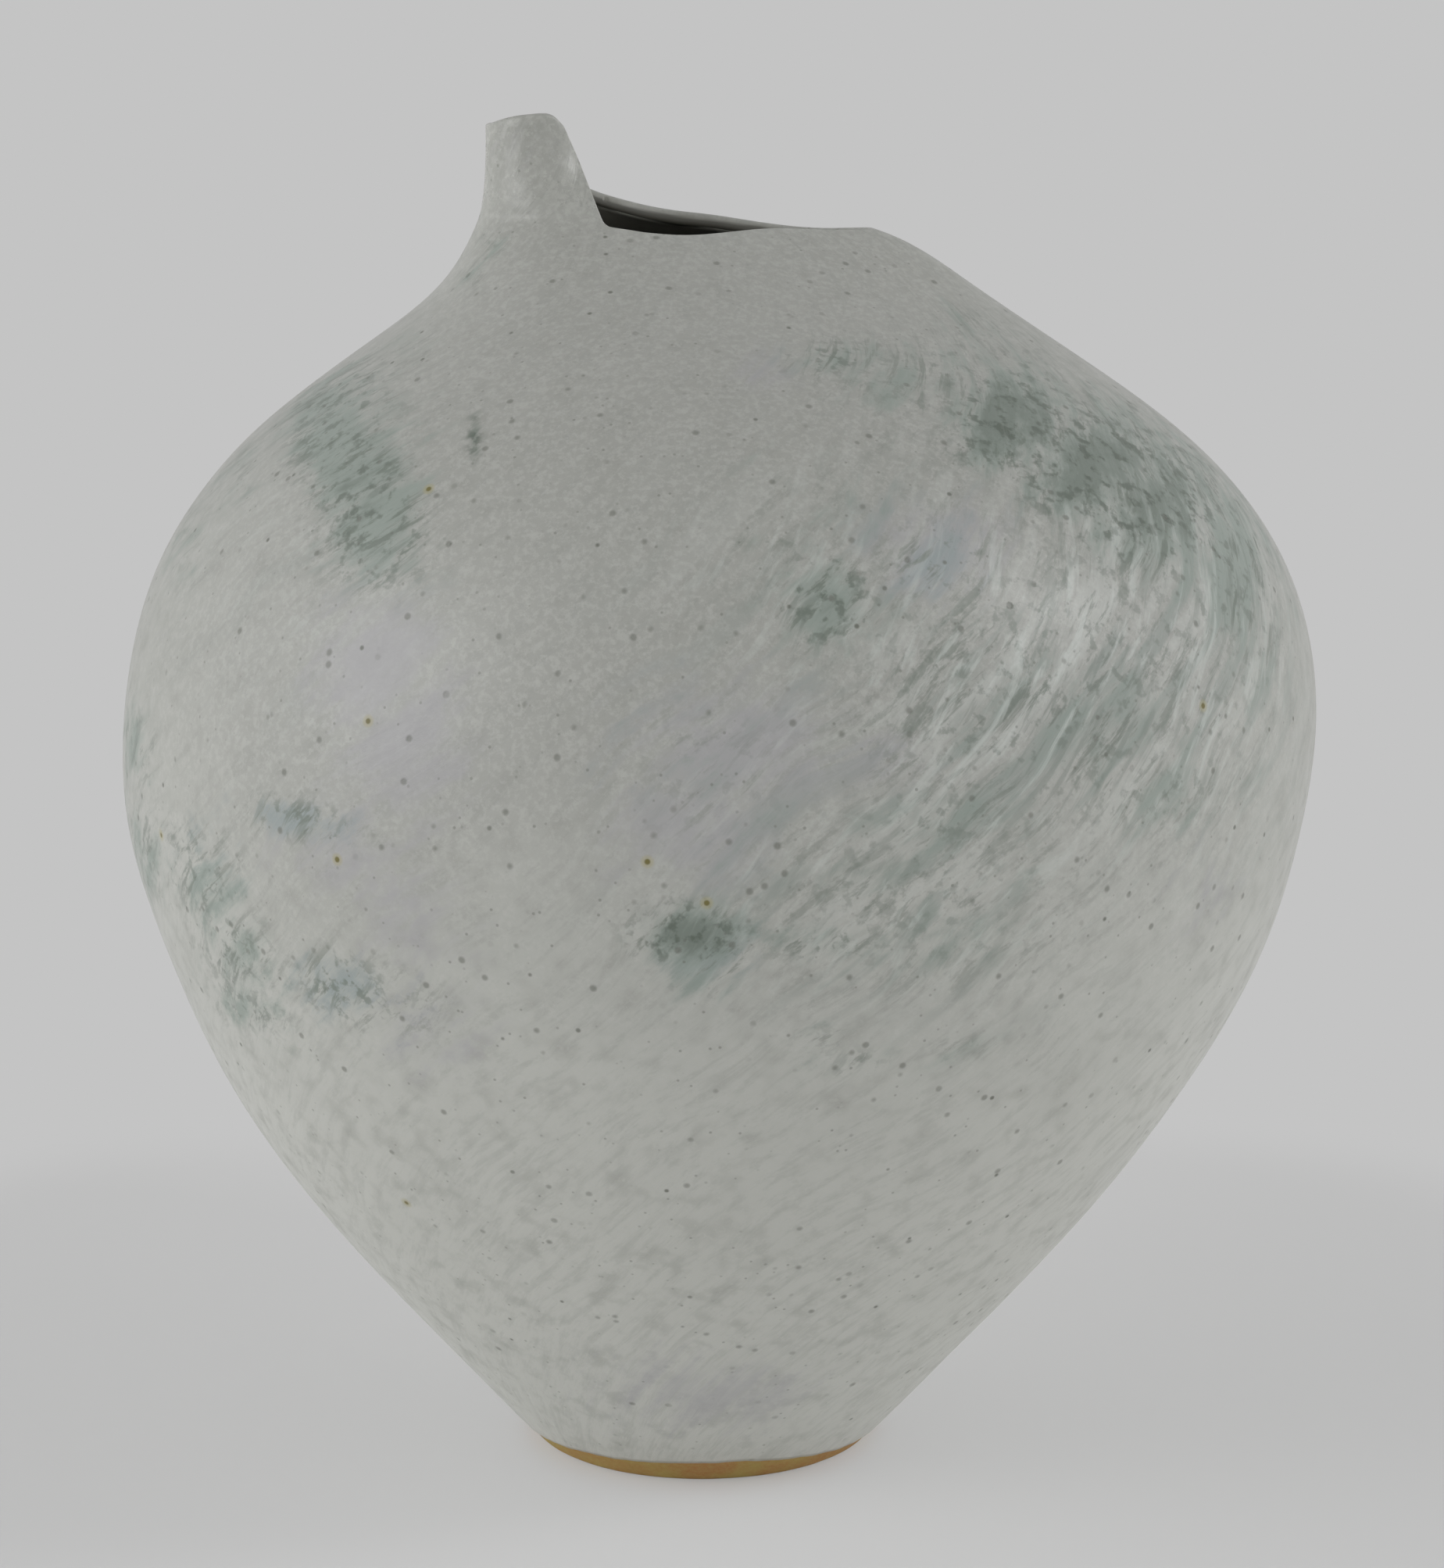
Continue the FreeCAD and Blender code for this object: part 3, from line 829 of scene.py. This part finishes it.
def liner_skin():
    """The coat on the inside: from under the rim down the wall, round the coil and over the floor."""
    lap = (RIM_BAND - LINER_LAP) / FAN_LENGTHS
    inside = []
    behind = []
    for share in np.linspace(0, 1, LINER_FAN_ROWS):
        places, angles = fan_row((1 - lap) * (1 - share))
        depth = full_depth(section_point(places, angles)[:, 2])
        inside.append(sheet_row(places, angles, depth))
        behind.append(sheet_row(places, angles, depth - LINER_THICKNESS))
    coil_top = FLOOR_THICKNESS + LINER_THICKNESS + COIL_HEIGHT
    low = place_at(coil_top)
    for share in np.linspace(0, 1, LINER_BODY_ROWS)[1:]:
        places = np.full(COLUMN_ANGLES.shape, blend(FAN_PLACE, low, share))
        depth = full_depth(section_point(places, COLUMN_ANGLES)[:, 2])
        inside.append(sheet_row(places, COLUMN_ANGLES, depth))
        behind.append(sheet_row(places, COLUMN_ANGLES, depth - LINER_THICKNESS))
    for step in range(1, CORNER_STEPS + 1):
        share = step / CORNER_STEPS
        height = FLOOR_THICKNESS + LINER_THICKNESS + COIL_HEIGHT * (1 - share)
        places = np.full(COLUMN_ANGLES.shape, place_at(height))
        depth = full_depth(np.full(COLUMN_ANGLES.shape, height)) + COIL_WIDTH * share ** 2
        inside.append(sheet_row(places, COLUMN_ANGLES, depth))
        behind.append(sheet_row(places, COLUMN_ANGLES, depth - LINER_THICKNESS))
        inside[-1][:, 2] = height
        behind[-1][:, 2] = height - LINER_THICKNESS
    floor = inside[-1]
    for share in np.linspace(1, 0, FLOOR_RINGS)[1:-1]:
        ring = floor * np.array([share, share, 1.0])
        ring[:, 2] += FLOOR_RIDGE * (1 + math.cos(share * FLOOR_RIDGES * 2 * math.pi)) * (1 - share)
        inside.append(ring)
        behind.append(floor * np.array([share, share, 1.0]) - np.array([0, 0, LINER_THICKNESS]))
    inside = np.array(inside)[:, ::2]
    behind = np.array(behind)[:, ::2]
    return np.concatenate([behind[::-1], inside])


def foot_slab():
    """The flat slab under the vase: across the bottom, round its worn edge, up its side, over its top."""
    angles = COLUMN_ANGLES[::2]
    depth = np.full(len(angles), GLAZE_THICKNESS)
    side = sheet_row(0.0, angles, depth)
    radius = FOOT_EDGE_ROUND + FOOT_EDGE_CHIP * ripples(side, *FOOT_CHIP_WAVES)
    rows = []
    for share in np.linspace(0, 1, FLOOR_RINGS)[1:-1]:
        ring = side * share
        ring[:, 2] = 0
        rows.append(ring)
    outward = unit(side * np.array([1.0, 1.0, 0.0]))
    for step in range(EDGE_STEPS + 1):
        turn = math.pi / 2 * step / EDGE_STEPS
        height = radius * (1 - math.cos(turn))
        wall = sheet_row(place_at(height), angles, depth)
        ring = wall - outward * (radius * (1 - math.sin(turn)))[:, None]
        ring[:, 2] = height
        rows.append(ring)
    for share in np.linspace(0, 1, SIDE_STEPS)[1:]:
        height = blend(radius, FLOOR_THICKNESS, share)
        ring = sheet_row(place_at(height), angles, depth)
        ring[:, 2] = height
        rows.append(ring)
    top = rows[-1]
    for share in SLAB_TOP_SHARES:
        rows.append(top * np.array([share, share, 1.0]))
    return np.array(rows)


class Nodes:
    """A node tree, with short calls that add and join nodes."""

    def __init__(self, tree):
        self.tree = tree

    def add(self, kind, **settings):
        node = self.tree.nodes.new(kind)
        for key, value in settings.items():
            setattr(node, key, value)
        return node

    def join(self, value, socket):
        """Link a socket to another one's value, or set it to a number or colour."""
        if isinstance(value, bpy.types.NodeSocket):
            self.tree.links.new(value, socket)
        else:
            socket.default_value = value

    def compute(self, operation, first, second=0.0, third=0.0):
        node = self.add("ShaderNodeMath", operation=operation)
        for value, socket in zip((first, second, third), node.inputs):
            self.join(value, socket)
        return node.outputs[0]

    def ramp(self, value, low, high, at_low=0.0, at_high=1.0):
        """A smooth step from one value to another, as the input goes from low to high."""
        node = self.add("ShaderNodeMapRange", interpolation_type="SMOOTHSTEP")
        for item, socket in zip((value, low, high, at_low, at_high), node.inputs):
            self.join(item, socket)
        return node.outputs[0]


class Finish(Nodes):
    """A material's node tree, with patterns on the piece's own surface."""

    def __init__(self, name):
        self.material = bpy.data.materials.new(name)
        self.material.use_nodes = True
        super().__init__(self.material.node_tree)
        self.shader = self.tree.nodes["Principled BSDF"]
        self.point = self.add("ShaderNodeTexCoord").outputs["Object"]

    def height(self):
        """How high a point is, in metres."""
        split = self.add("ShaderNodeSeparateXYZ")
        self.join(self.point, split.inputs[0])
        return split.outputs[2]

    def warped(self, vector, amount):
        """A vector pushed about by broad noise, by an amount in millimetres."""
        noise = self.add("ShaderNodeTexNoise")
        self.join(self.point, noise.inputs["Vector"])
        noise.inputs["Scale"].default_value = 1 / (BEND_SIZE * MM)
        noise.inputs["Detail"].default_value = 2
        centred = self.add("ShaderNodeVectorMath", operation="SUBTRACT")
        self.join(noise.outputs["Color"], centred.inputs[0])
        centred.inputs[1].default_value = (0.5, 0.5, 0.5)
        moved = self.add("ShaderNodeVectorMath", operation="MULTIPLY_ADD")
        self.join(centred.outputs[0], moved.inputs[0])
        moved.inputs[1].default_value = (amount * MM, amount * MM, amount * MM)
        self.join(vector, moved.inputs[2])
        return moved.outputs[0]

    def noise(self, size, detail, roughness, vector=None):
        """Noise from 0 to 1 with patches of a size in millimetres."""
        node = self.add("ShaderNodeTexNoise")
        self.join(self.point if vector is None else vector, node.inputs["Vector"])
        node.inputs["Scale"].default_value = 1 / (size * MM)
        node.inputs["Detail"].default_value = detail
        node.inputs["Roughness"].default_value = roughness
        return node.outputs["Fac"]

    def cells(self, size):
        """The distance to the nearest of points a size apart, and a random colour for each point."""
        node = self.add("ShaderNodeTexVoronoi")
        self.join(self.point, node.inputs["Vector"])
        node.inputs["Scale"].default_value = 1 / (size * MM)
        return node.outputs["Distance"], node.outputs["Color"]

    def mix(self, share, first, second):
        node = self.add("ShaderNodeMix", data_type="RGBA")
        self.join(share, node.inputs[0])
        self.join(first, node.inputs[6])
        self.join(second, node.inputs[7])
        return node.outputs[2]

    def layer(self, tone, pattern, low, high, most, shade, within=1.0):
        """A colour laid over another where a pattern shows, as far as a second value lets it."""
        cover = self.compute("MULTIPLY", self.ramp(pattern, low, high, 0.0, most), within)
        return self.mix(cover, tone, colour(*shade))

    def swayed(self, value, noise, amount):
        """A value that noise moves up and down by an amount."""
        return self.compute("MULTIPLY_ADD", self.compute("SUBTRACT", noise, 0.5), amount, value)

    def flow(self, lean, stretch):
        """The place in millimetres round and up the surface, stretched along streaks that lean."""
        spread = self.add("ShaderNodeCombineXYZ")
        self.join(self.held("around"), spread.inputs[0])
        self.join(self.held("along"), spread.inputs[1])
        node = self.add("ShaderNodeMapping", vector_type="TEXTURE")
        self.join(spread.outputs[0], node.inputs["Vector"])
        node.inputs["Rotation"].default_value = (0, 0, -math.radians(lean))
        node.inputs["Scale"].default_value = (1, stretch, 1)
        return node.outputs[0]

    def streaks(self, size, lean, stretch, bend, detail, roughness):
        """Noise in long streaks on the surface, calmed to an even value along the line at the back."""
        noise = self.noise(size, detail, roughness, self.warped(self.flow(lean, stretch), bend))
        return self.swayed(0.5, noise, self.held("open"))

    def near(self, place, radius, most):
        """A share of a spot: the most at a place in millimetres, and zero beyond a radius."""
        node = self.add("ShaderNodeVectorMath", operation="DISTANCE")
        self.join(self.point, node.inputs[0])
        node.inputs[1].default_value = [value * MM for value in place]
        return self.ramp(node.outputs["Value"], radius * MM, radius * MM / 2, 0.0, most)

    def held(self, name):
        """A value that the mesh holds at its points."""
        return self.add("ShaderNodeAttribute", attribute_name=name).outputs["Fac"]

    def bump(self, height, distance, before=None):
        """Relief of a height in millimetres, on top of any relief before it."""
        node = self.add("ShaderNodeBump")
        node.inputs["Distance"].default_value = distance * MM
        node.inputs["Strength"].default_value = 1.0
        self.join(height, node.inputs["Height"])
        if before is not None:
            self.join(before, node.inputs["Normal"])
        return node.outputs[0]


def colour(red, green, blue):
    """A colour from its eight-bit screen values."""
    shares = [value / 255 for value in (red, green, blue)]
    return tuple(s / 12.92 if s < 0.04045 else ((s + 0.055) / 1.055) ** 2.4 for s in shares) + (1.0,)


def grey_glaze():
    """Speckled satin glaze: grey with leaning streaks, stained clouds, pits, iron spots and a worn rim,
    with painted shade at the shoulder and on the rim's inner face, and painted light low down.
    """
    nodes = Finish("grey_glaze")
    bands = nodes.streaks(*BAND_STREAKS)
    fine = nodes.streaks(*FINE_STREAKS)
    strand = nodes.streaks(*STRAND_STREAKS)
    spots = nodes.noise(*SPOT_NOISE)
    smudge = nodes.noise(*SMUDGE_NOISE)
    grain = nodes.noise(*GRAIN_NOISE)
    cloud = nodes.noise(*CLOUD_NOISE)
    belt = nodes.held("belt")

    height = nodes.height()
    # Painted light and shade: the grey is lighter low down and darker towards the shoulder
    tone_ramp = nodes.ramp(height, PAINTED_LIGHT_TOP * MM, PAINTED_SHADE_BASE * MM)
    shared = nodes.ramp(nodes.swayed(tone_ramp, cloud, GREY_SWAY), *GREY_BLEND)
    tone = nodes.mix(shared, colour(*PAINTED_LIGHT_GREY), colour(*PAINTED_SHADE_GREY))
    tone = nodes.layer(tone, smudge, *SMUDGE_LAYER)
    tone = nodes.layer(tone, fine, *FINE_LAYER)
    tone = nodes.layer(tone, grain, *GRAIN_LAYER)
    tone = nodes.layer(tone, bands, *BAND_LIGHT, within=belt)
    tone = nodes.layer(tone, bands, *BAND_DUSK, within=belt)

    torn = 0.0
    for pattern, amount in zip((fine, smudge, bands), CLOUD_TEARS):
        torn = nodes.swayed(torn, pattern, amount)
    for name, layer in CLOUD_LAYERS:
        held = nodes.held(name)
        edge = nodes.ramp(held, *CLOUD_EDGE)
        tone = nodes.layer(tone, nodes.compute("ADD", held, torn), *layer, within=edge)

    stained = nodes.compute("MAXIMUM", nodes.held("green"), nodes.compute("MULTIPLY", belt, BELT_STAIN))
    stained = nodes.ramp(nodes.compute("MAXIMUM", stained, nodes.held("blue")), *STAIN_EDGE)
    tone = nodes.layer(tone, fine, *FINE_STAIN, within=stained)
    tone = nodes.layer(tone, spots, *SPOT_STAIN, within=stained)
    tone = nodes.layer(tone, strand, *STRAND_STAIN, within=stained)
    tone = nodes.layer(tone, spots, *DARK_STAIN, within=nodes.held("deep"))
    tone = nodes.layer(tone, strand, *PALE_STRAND, within=belt)

    pits = []
    for spacing, edge, chance, strength in PITS:
        distance, random = nodes.cells(spacing)
        speck = nodes.compute("MULTIPLY", nodes.ramp(distance, *edge), nodes.ramp(random, *chance))
        tone = nodes.mix(nodes.compute("MULTIPLY", speck, strength), tone, colour(*PIT_GREY))
        pits.append(speck)
    for place in IRON_SPOTS:
        for radius, strength, shade in IRON_RINGS:
            tone = nodes.mix(nodes.near(place, radius, strength), tone, colour(*shade))
    worn = nodes.compute("MULTIPLY", nodes.held("rim"), nodes.ramp(smudge, *RIM_WEAR_PATCHES))
    tone = nodes.mix(worn, tone, colour(*WORN_RIM))
    # Painted shade on the rim's inner face, where the inside of the mouth lies in shadow
    tone = nodes.mix(nodes.held("inner"), tone, colour(*RIM_PAINTED_SHADE))
    nodes.join(tone, nodes.shader.inputs["Base Color"])

    gloss = nodes.ramp(height, GLOSS_BASE * MM, GLOSS_TOP * MM, 0.0, PEAK_GLOSS)
    dull = nodes.ramp(smudge, *GLAZE_ROUGHNESS)
    nodes.join(nodes.compute("SUBTRACT", dull, gloss), nodes.shader.inputs["Roughness"])
    relief = nodes.bump(bands, BAND_RELIEF)
    relief = nodes.bump(fine, FINE_RELIEF, relief)
    relief = nodes.bump(grain, GRAIN_RELIEF, relief)
    relief = nodes.bump(nodes.compute("SUBTRACT", 1.0, pits[0]), PIT_RELIEF, relief)
    nodes.join(relief, nodes.shader.inputs["Normal"])
    return nodes.material


def liner_glaze():
    """The plain coat on the inside."""
    nodes = Finish("dark_liner")
    cloud = nodes.noise(*LINER_CLOUD_NOISE)
    tone = nodes.mix(nodes.ramp(cloud, *PATCH_EDGE), *(colour(*grey) for grey in LINER_GREYS))
    tone_ramp = nodes.ramp(nodes.swayed(nodes.held("near_rim"), cloud, LINER_RIM_SWAY), *LINER_RIM_EDGE)
    tone = nodes.mix(tone_ramp, tone, colour(*LINER_RIM))
    nodes.join(tone, nodes.shader.inputs["Base Color"])
    nodes.shader.inputs["Roughness"].default_value = LINER_ROUGHNESS
    dimples = nodes.noise(*LINER_DIMPLE_NOISE)
    nodes.join(nodes.bump(dimples, LINER_RELIEF), nodes.shader.inputs["Normal"])
    return nodes.material


def toasted_clay():
    """Bare clay, toasted to patches of yellow and orange."""
    nodes = Finish("bare_clay")
    grain = nodes.noise(*CLAY_GRAIN_NOISE)
    cloud = nodes.noise(*CLAY_CLOUD_NOISE)
    tone = nodes.mix(nodes.ramp(cloud, *PATCH_EDGE), *(colour(*clay) for clay in CLAYS))
    tone = nodes.layer(tone, grain, *CLAY_GRAIN_LAYER)
    nodes.join(tone, nodes.shader.inputs["Base Color"])
    nodes.shader.inputs["Roughness"].default_value = CLAY_ROUGHNESS
    nodes.join(nodes.bump(grain, CLAY_RELIEF), nodes.shader.inputs["Normal"])
    return nodes.material


def give_values(piece, name, values):
    """Let a piece's mesh hold a value at each of its points."""
    attribute = piece.data.attributes.new(name, "FLOAT", "POINT")
    attribute.data.foreach_set("value", np.asarray(values, dtype=np.float32).ravel())


def flow_values(rows):
    """For the outer coat's points: the way round from the front, the way up, and where streaks are open."""
    turn = (COLUMN_ANGLES - math.pi / 2) % (2 * math.pi) - math.pi
    steps = np.linalg.norm(np.diff(rows, axis=0), axis=-1)
    along = np.concatenate([np.zeros((1, rows.shape[1])), np.cumsum(steps, axis=0)])
    calm = np.clip((np.degrees(np.abs(turn)) - CALM_START) / (CALM_END - CALM_START), 0, 1)
    around = np.broadcast_to(turn * FLOW_RADIUS * MM, along.shape)
    return around, along * MM, np.broadcast_to(1 - calm, along.shape)


def cloud_values(points, kind):
    """How strong the clouds of a kind are at each point, from 0 to 1."""
    total = np.zeros(points.shape[:-1])
    for clouds, side in ((FRONT_CLOUDS, -1), (BACK_CLOUDS, 1)):
        facing = np.clip(points[..., 1] * side / SIDE_FADE, 0, 1)
        for name, x, z, wide, high, strength in clouds:
            if name == kind:
                reach = ((points[..., 0] - x) / wide) ** 2 + ((points[..., 2] - z) / high) ** 2
                total = np.maximum(total, strength * np.exp(-reach) * facing)
    return total


glaze_rows = glaze_skin()
skin = make_piece("glaze_skin", glaze_rows, closed=True)
for kind in CLOUD_KINDS:
    give_values(skin, kind, cloud_values(glaze_rows, kind))
for name, values in zip(("around", "along", "open"), flow_values(glaze_rows)):
    give_values(skin, name, values)
crest_row = BODY_ROWS + FAN_ROWS + RIM_STEPS // 2
from_crest = np.linalg.norm(glaze_rows - glaze_rows[crest_row], axis=-1)
give_values(skin, "rim", np.exp(-(from_crest / RIM_WEAR) ** 2) * RIM_WEAR_MOST)
# Painted shade: a share that darkens the rim's inner face and the coat behind it, from a little past the
# crest
side_of_crest = np.sign(np.arange(len(glaze_rows)) - crest_row)[:, None]
lit = RIM_LIT + RIM_LIT_RIPPLE * (2 * ripples(RIM_POINTS, *RIM_LIT_WAVES) - 1)
give_values(skin, "inner", np.clip((from_crest * side_of_crest - lit) / RIM_LIT_FADE, 0, 1))
skin.data.materials.append(grey_glaze())
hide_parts("outer_glaze", "mouth_collar", "lip_peak")

liner_rows = liner_skin()
middle_top = np.array([0, 0, FLOOR_THICKNESS + LINER_THICKNESS])
liner = make_piece("liner_skin", liner_rows, middle_top - [0, 0, LINER_THICKNESS], middle_top)
liner_top = liner_rows[len(liner_rows) // 2]
from_top = np.linalg.norm(liner_rows - liner_top, axis=-1)
near_rim = np.clip((LINER_CLEAR - from_top) / (LINER_CLEAR - LINER_DARK), 0, 1)
give_values(liner, "near_rim", np.append(near_rim, [0, 0]))
liner.data.materials.append(liner_glaze())
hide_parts("inner_glaze")

slab_rows = foot_slab()
slab = make_piece("foot_slab", slab_rows, np.zeros(3), np.array([0, 0, FLOOR_THICKNESS]))
clay = toasted_clay()
slab.data.materials.append(clay)
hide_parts("base_slab")

for name in ("lower_bowl", "upper_bowl", "belly_seam_coil", "base_seam_coil"):
    for node_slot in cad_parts[name].material_slots:
        node_slot.material = clay


# The room, in metres: a grey table that runs into an even grey backdrop
FLOOR_SIZE = 12.0
TABLE_EDGE = 0.205
TABLE_FADE = 0.05
TABLE_GLOW = 0.45
BACKDROP = colour(196, 196, 196)
TABLE = colour(214, 214, 214)
TABLE_BOUNCE = colour(240, 240, 238)
TABLE_SQUARENESS = 4.0
TABLE_ROUGHNESS = 0.9
TABLE_SPECULAR = 0.2

# The light from all round, what it gains at the sides, overhead and in front, and the two lamps:
# place, width, height and power
ROOM_LIGHT = 0.47
SIDE_LIGHT = 3.5
SKY_LIGHT = -0.42
FRONT_LIGHT = -0.13
RIGHT_LAMP = ((0.99, -0.32, 0.94), 0.28, 0.34, 2.6)
LEFT_LAMP = ((-1.03, -0.59, 0.71), 0.8, 0.8, 4.3)

CAMERA_PLACE = (0.0045, -1.0, 0.364)
CAMERA_PITCH = 12.04
FRAME_HEIGHT = 2006
FOCAL_PIXELS = 5831.0
SENSOR = 36.0


def seen(nodes):
    """One for a ray that shows the backdrop itself, in the camera, in gloss or through glass."""
    path = nodes.add("ShaderNodeLightPath")
    total = nodes.compute("ADD", path.outputs["Is Camera Ray"], path.outputs["Is Glossy Ray"])
    return nodes.compute("MINIMUM", nodes.compute("ADD", total, path.outputs["Is Transmission Ray"]), 1.0)


def table():
    """The table, which shows the backdrop's own grey away from the vase."""
    mesh = bpy.data.meshes.new("table")
    half = FLOOR_SIZE / 2
    corners = [(-half, -half, 0), (half, -half, 0), (half, half, 0), (-half, half, 0)]
    mesh.from_pydata(corners, [], [(0, 1, 2, 3)])
    floor = bpy.data.objects.new("table", mesh)
    bpy.context.scene.collection.objects.link(floor)
    nodes = Finish("table")
    path = nodes.add("ShaderNodeLightPath")
    tone = nodes.mix(path.outputs["Is Camera Ray"], TABLE_BOUNCE, TABLE)
    nodes.join(tone, nodes.shader.inputs["Base Color"])
    nodes.shader.inputs["Roughness"].default_value = TABLE_ROUGHNESS
    nodes.shader.inputs["Specular IOR Level"].default_value = TABLE_SPECULAR
    split = nodes.add("ShaderNodeSeparateXYZ")
    nodes.join(nodes.point, split.inputs[0])
    wide = nodes.compute("POWER", nodes.compute("ABSOLUTE", split.outputs[0]), TABLE_SQUARENESS)
    deep = nodes.compute("POWER", nodes.compute("ABSOLUTE", split.outputs[1]), TABLE_SQUARENESS)
    reach = nodes.compute("POWER", nodes.compute("ADD", wide, deep), 1 / TABLE_SQUARENESS)
    far = nodes.ramp(reach, TABLE_EDGE, TABLE_EDGE + TABLE_FADE, TABLE_GLOW, 1.0)
    glow = nodes.add("ShaderNodeEmission")
    glow.inputs["Color"].default_value = BACKDROP
    surface = nodes.add("ShaderNodeMixShader")
    nodes.join(nodes.compute("MULTIPLY", far, seen(nodes)), surface.inputs[0])
    nodes.join(nodes.shader.outputs[0], surface.inputs[1])
    nodes.join(glow.outputs[0], surface.inputs[2])
    nodes.join(surface.outputs[0], nodes.tree.nodes["Material Output"].inputs["Surface"])
    mesh.materials.append(nodes.material)


def surroundings():
    """Light from all round that is stronger at the sides, and an even backdrop behind the vase."""
    world = bpy.data.worlds.new("room")
    world.use_nodes = True
    bpy.context.scene.world = world
    nodes = Nodes(world.node_tree)
    heading = nodes.add("ShaderNodeSeparateXYZ")
    nodes.join(nodes.add("ShaderNodeTexCoord").outputs["Generated"], heading.inputs[0])
    x, y, z = heading.outputs
    sideways = nodes.compute("MULTIPLY", nodes.compute("MULTIPLY", x, x), nodes.compute("SUBTRACT", 1.0, z))
    level = nodes.compute("MULTIPLY_ADD", sideways, SIDE_LIGHT, ROOM_LIGHT)
    level = nodes.compute("MULTIPLY_ADD", nodes.compute("MULTIPLY", z, z), SKY_LIGHT, level)
    front = nodes.compute("MINIMUM", y, 0.0)
    level = nodes.compute("MULTIPLY_ADD", nodes.compute("MULTIPLY", front, front), FRONT_LIGHT, level)
    light = nodes.tree.nodes["Background"]
    light.inputs["Color"].default_value = (1, 1, 1, 1)
    nodes.join(level, light.inputs["Strength"])
    shown = nodes.add("ShaderNodeBackground")
    shown.inputs["Color"].default_value = BACKDROP
    choice = nodes.add("ShaderNodeMixShader")
    nodes.join(seen(nodes), choice.inputs[0])
    nodes.join(light.outputs[0], choice.inputs[1])
    nodes.join(shown.outputs[0], choice.inputs[2])
    nodes.join(choice.outputs[0], nodes.tree.nodes["World Output"].inputs["Surface"])


def lamp(name, place, width, height, power):
    """A soft lamp that faces the middle of the vase."""
    data = bpy.data.lights.new(name, "AREA")
    data.shape = "RECTANGLE"
    data.size = width
    data.size_y = height
    data.energy = power
    light = bpy.data.objects.new(name, data)
    bpy.context.scene.collection.objects.link(light)
    light.location = place
    aim = Vector((0, 0, BELLY_HEIGHT * MM)) - light.location
    light.rotation_euler = aim.to_track_quat("-Z", "Y").to_euler()


def camera():
    """The camera, in front of the vase and a little above it."""
    data = bpy.data.cameras.new("camera")
    data.sensor_fit = "VERTICAL"
    data.sensor_height = SENSOR
    data.lens = FOCAL_PIXELS * SENSOR / FRAME_HEIGHT
    item = bpy.data.objects.new("camera", data)
    bpy.context.scene.collection.objects.link(item)
    item.location = CAMERA_PLACE
    item.rotation_euler = (math.radians(90 - CAMERA_PITCH), 0, 0)
    bpy.context.scene.camera = item


table()
surroundings()
lamp("lamp_right", *RIGHT_LAMP)
lamp("lamp_left", *LEFT_LAMP)
camera()
bpy.context.scene.view_settings.view_transform = "Standard"
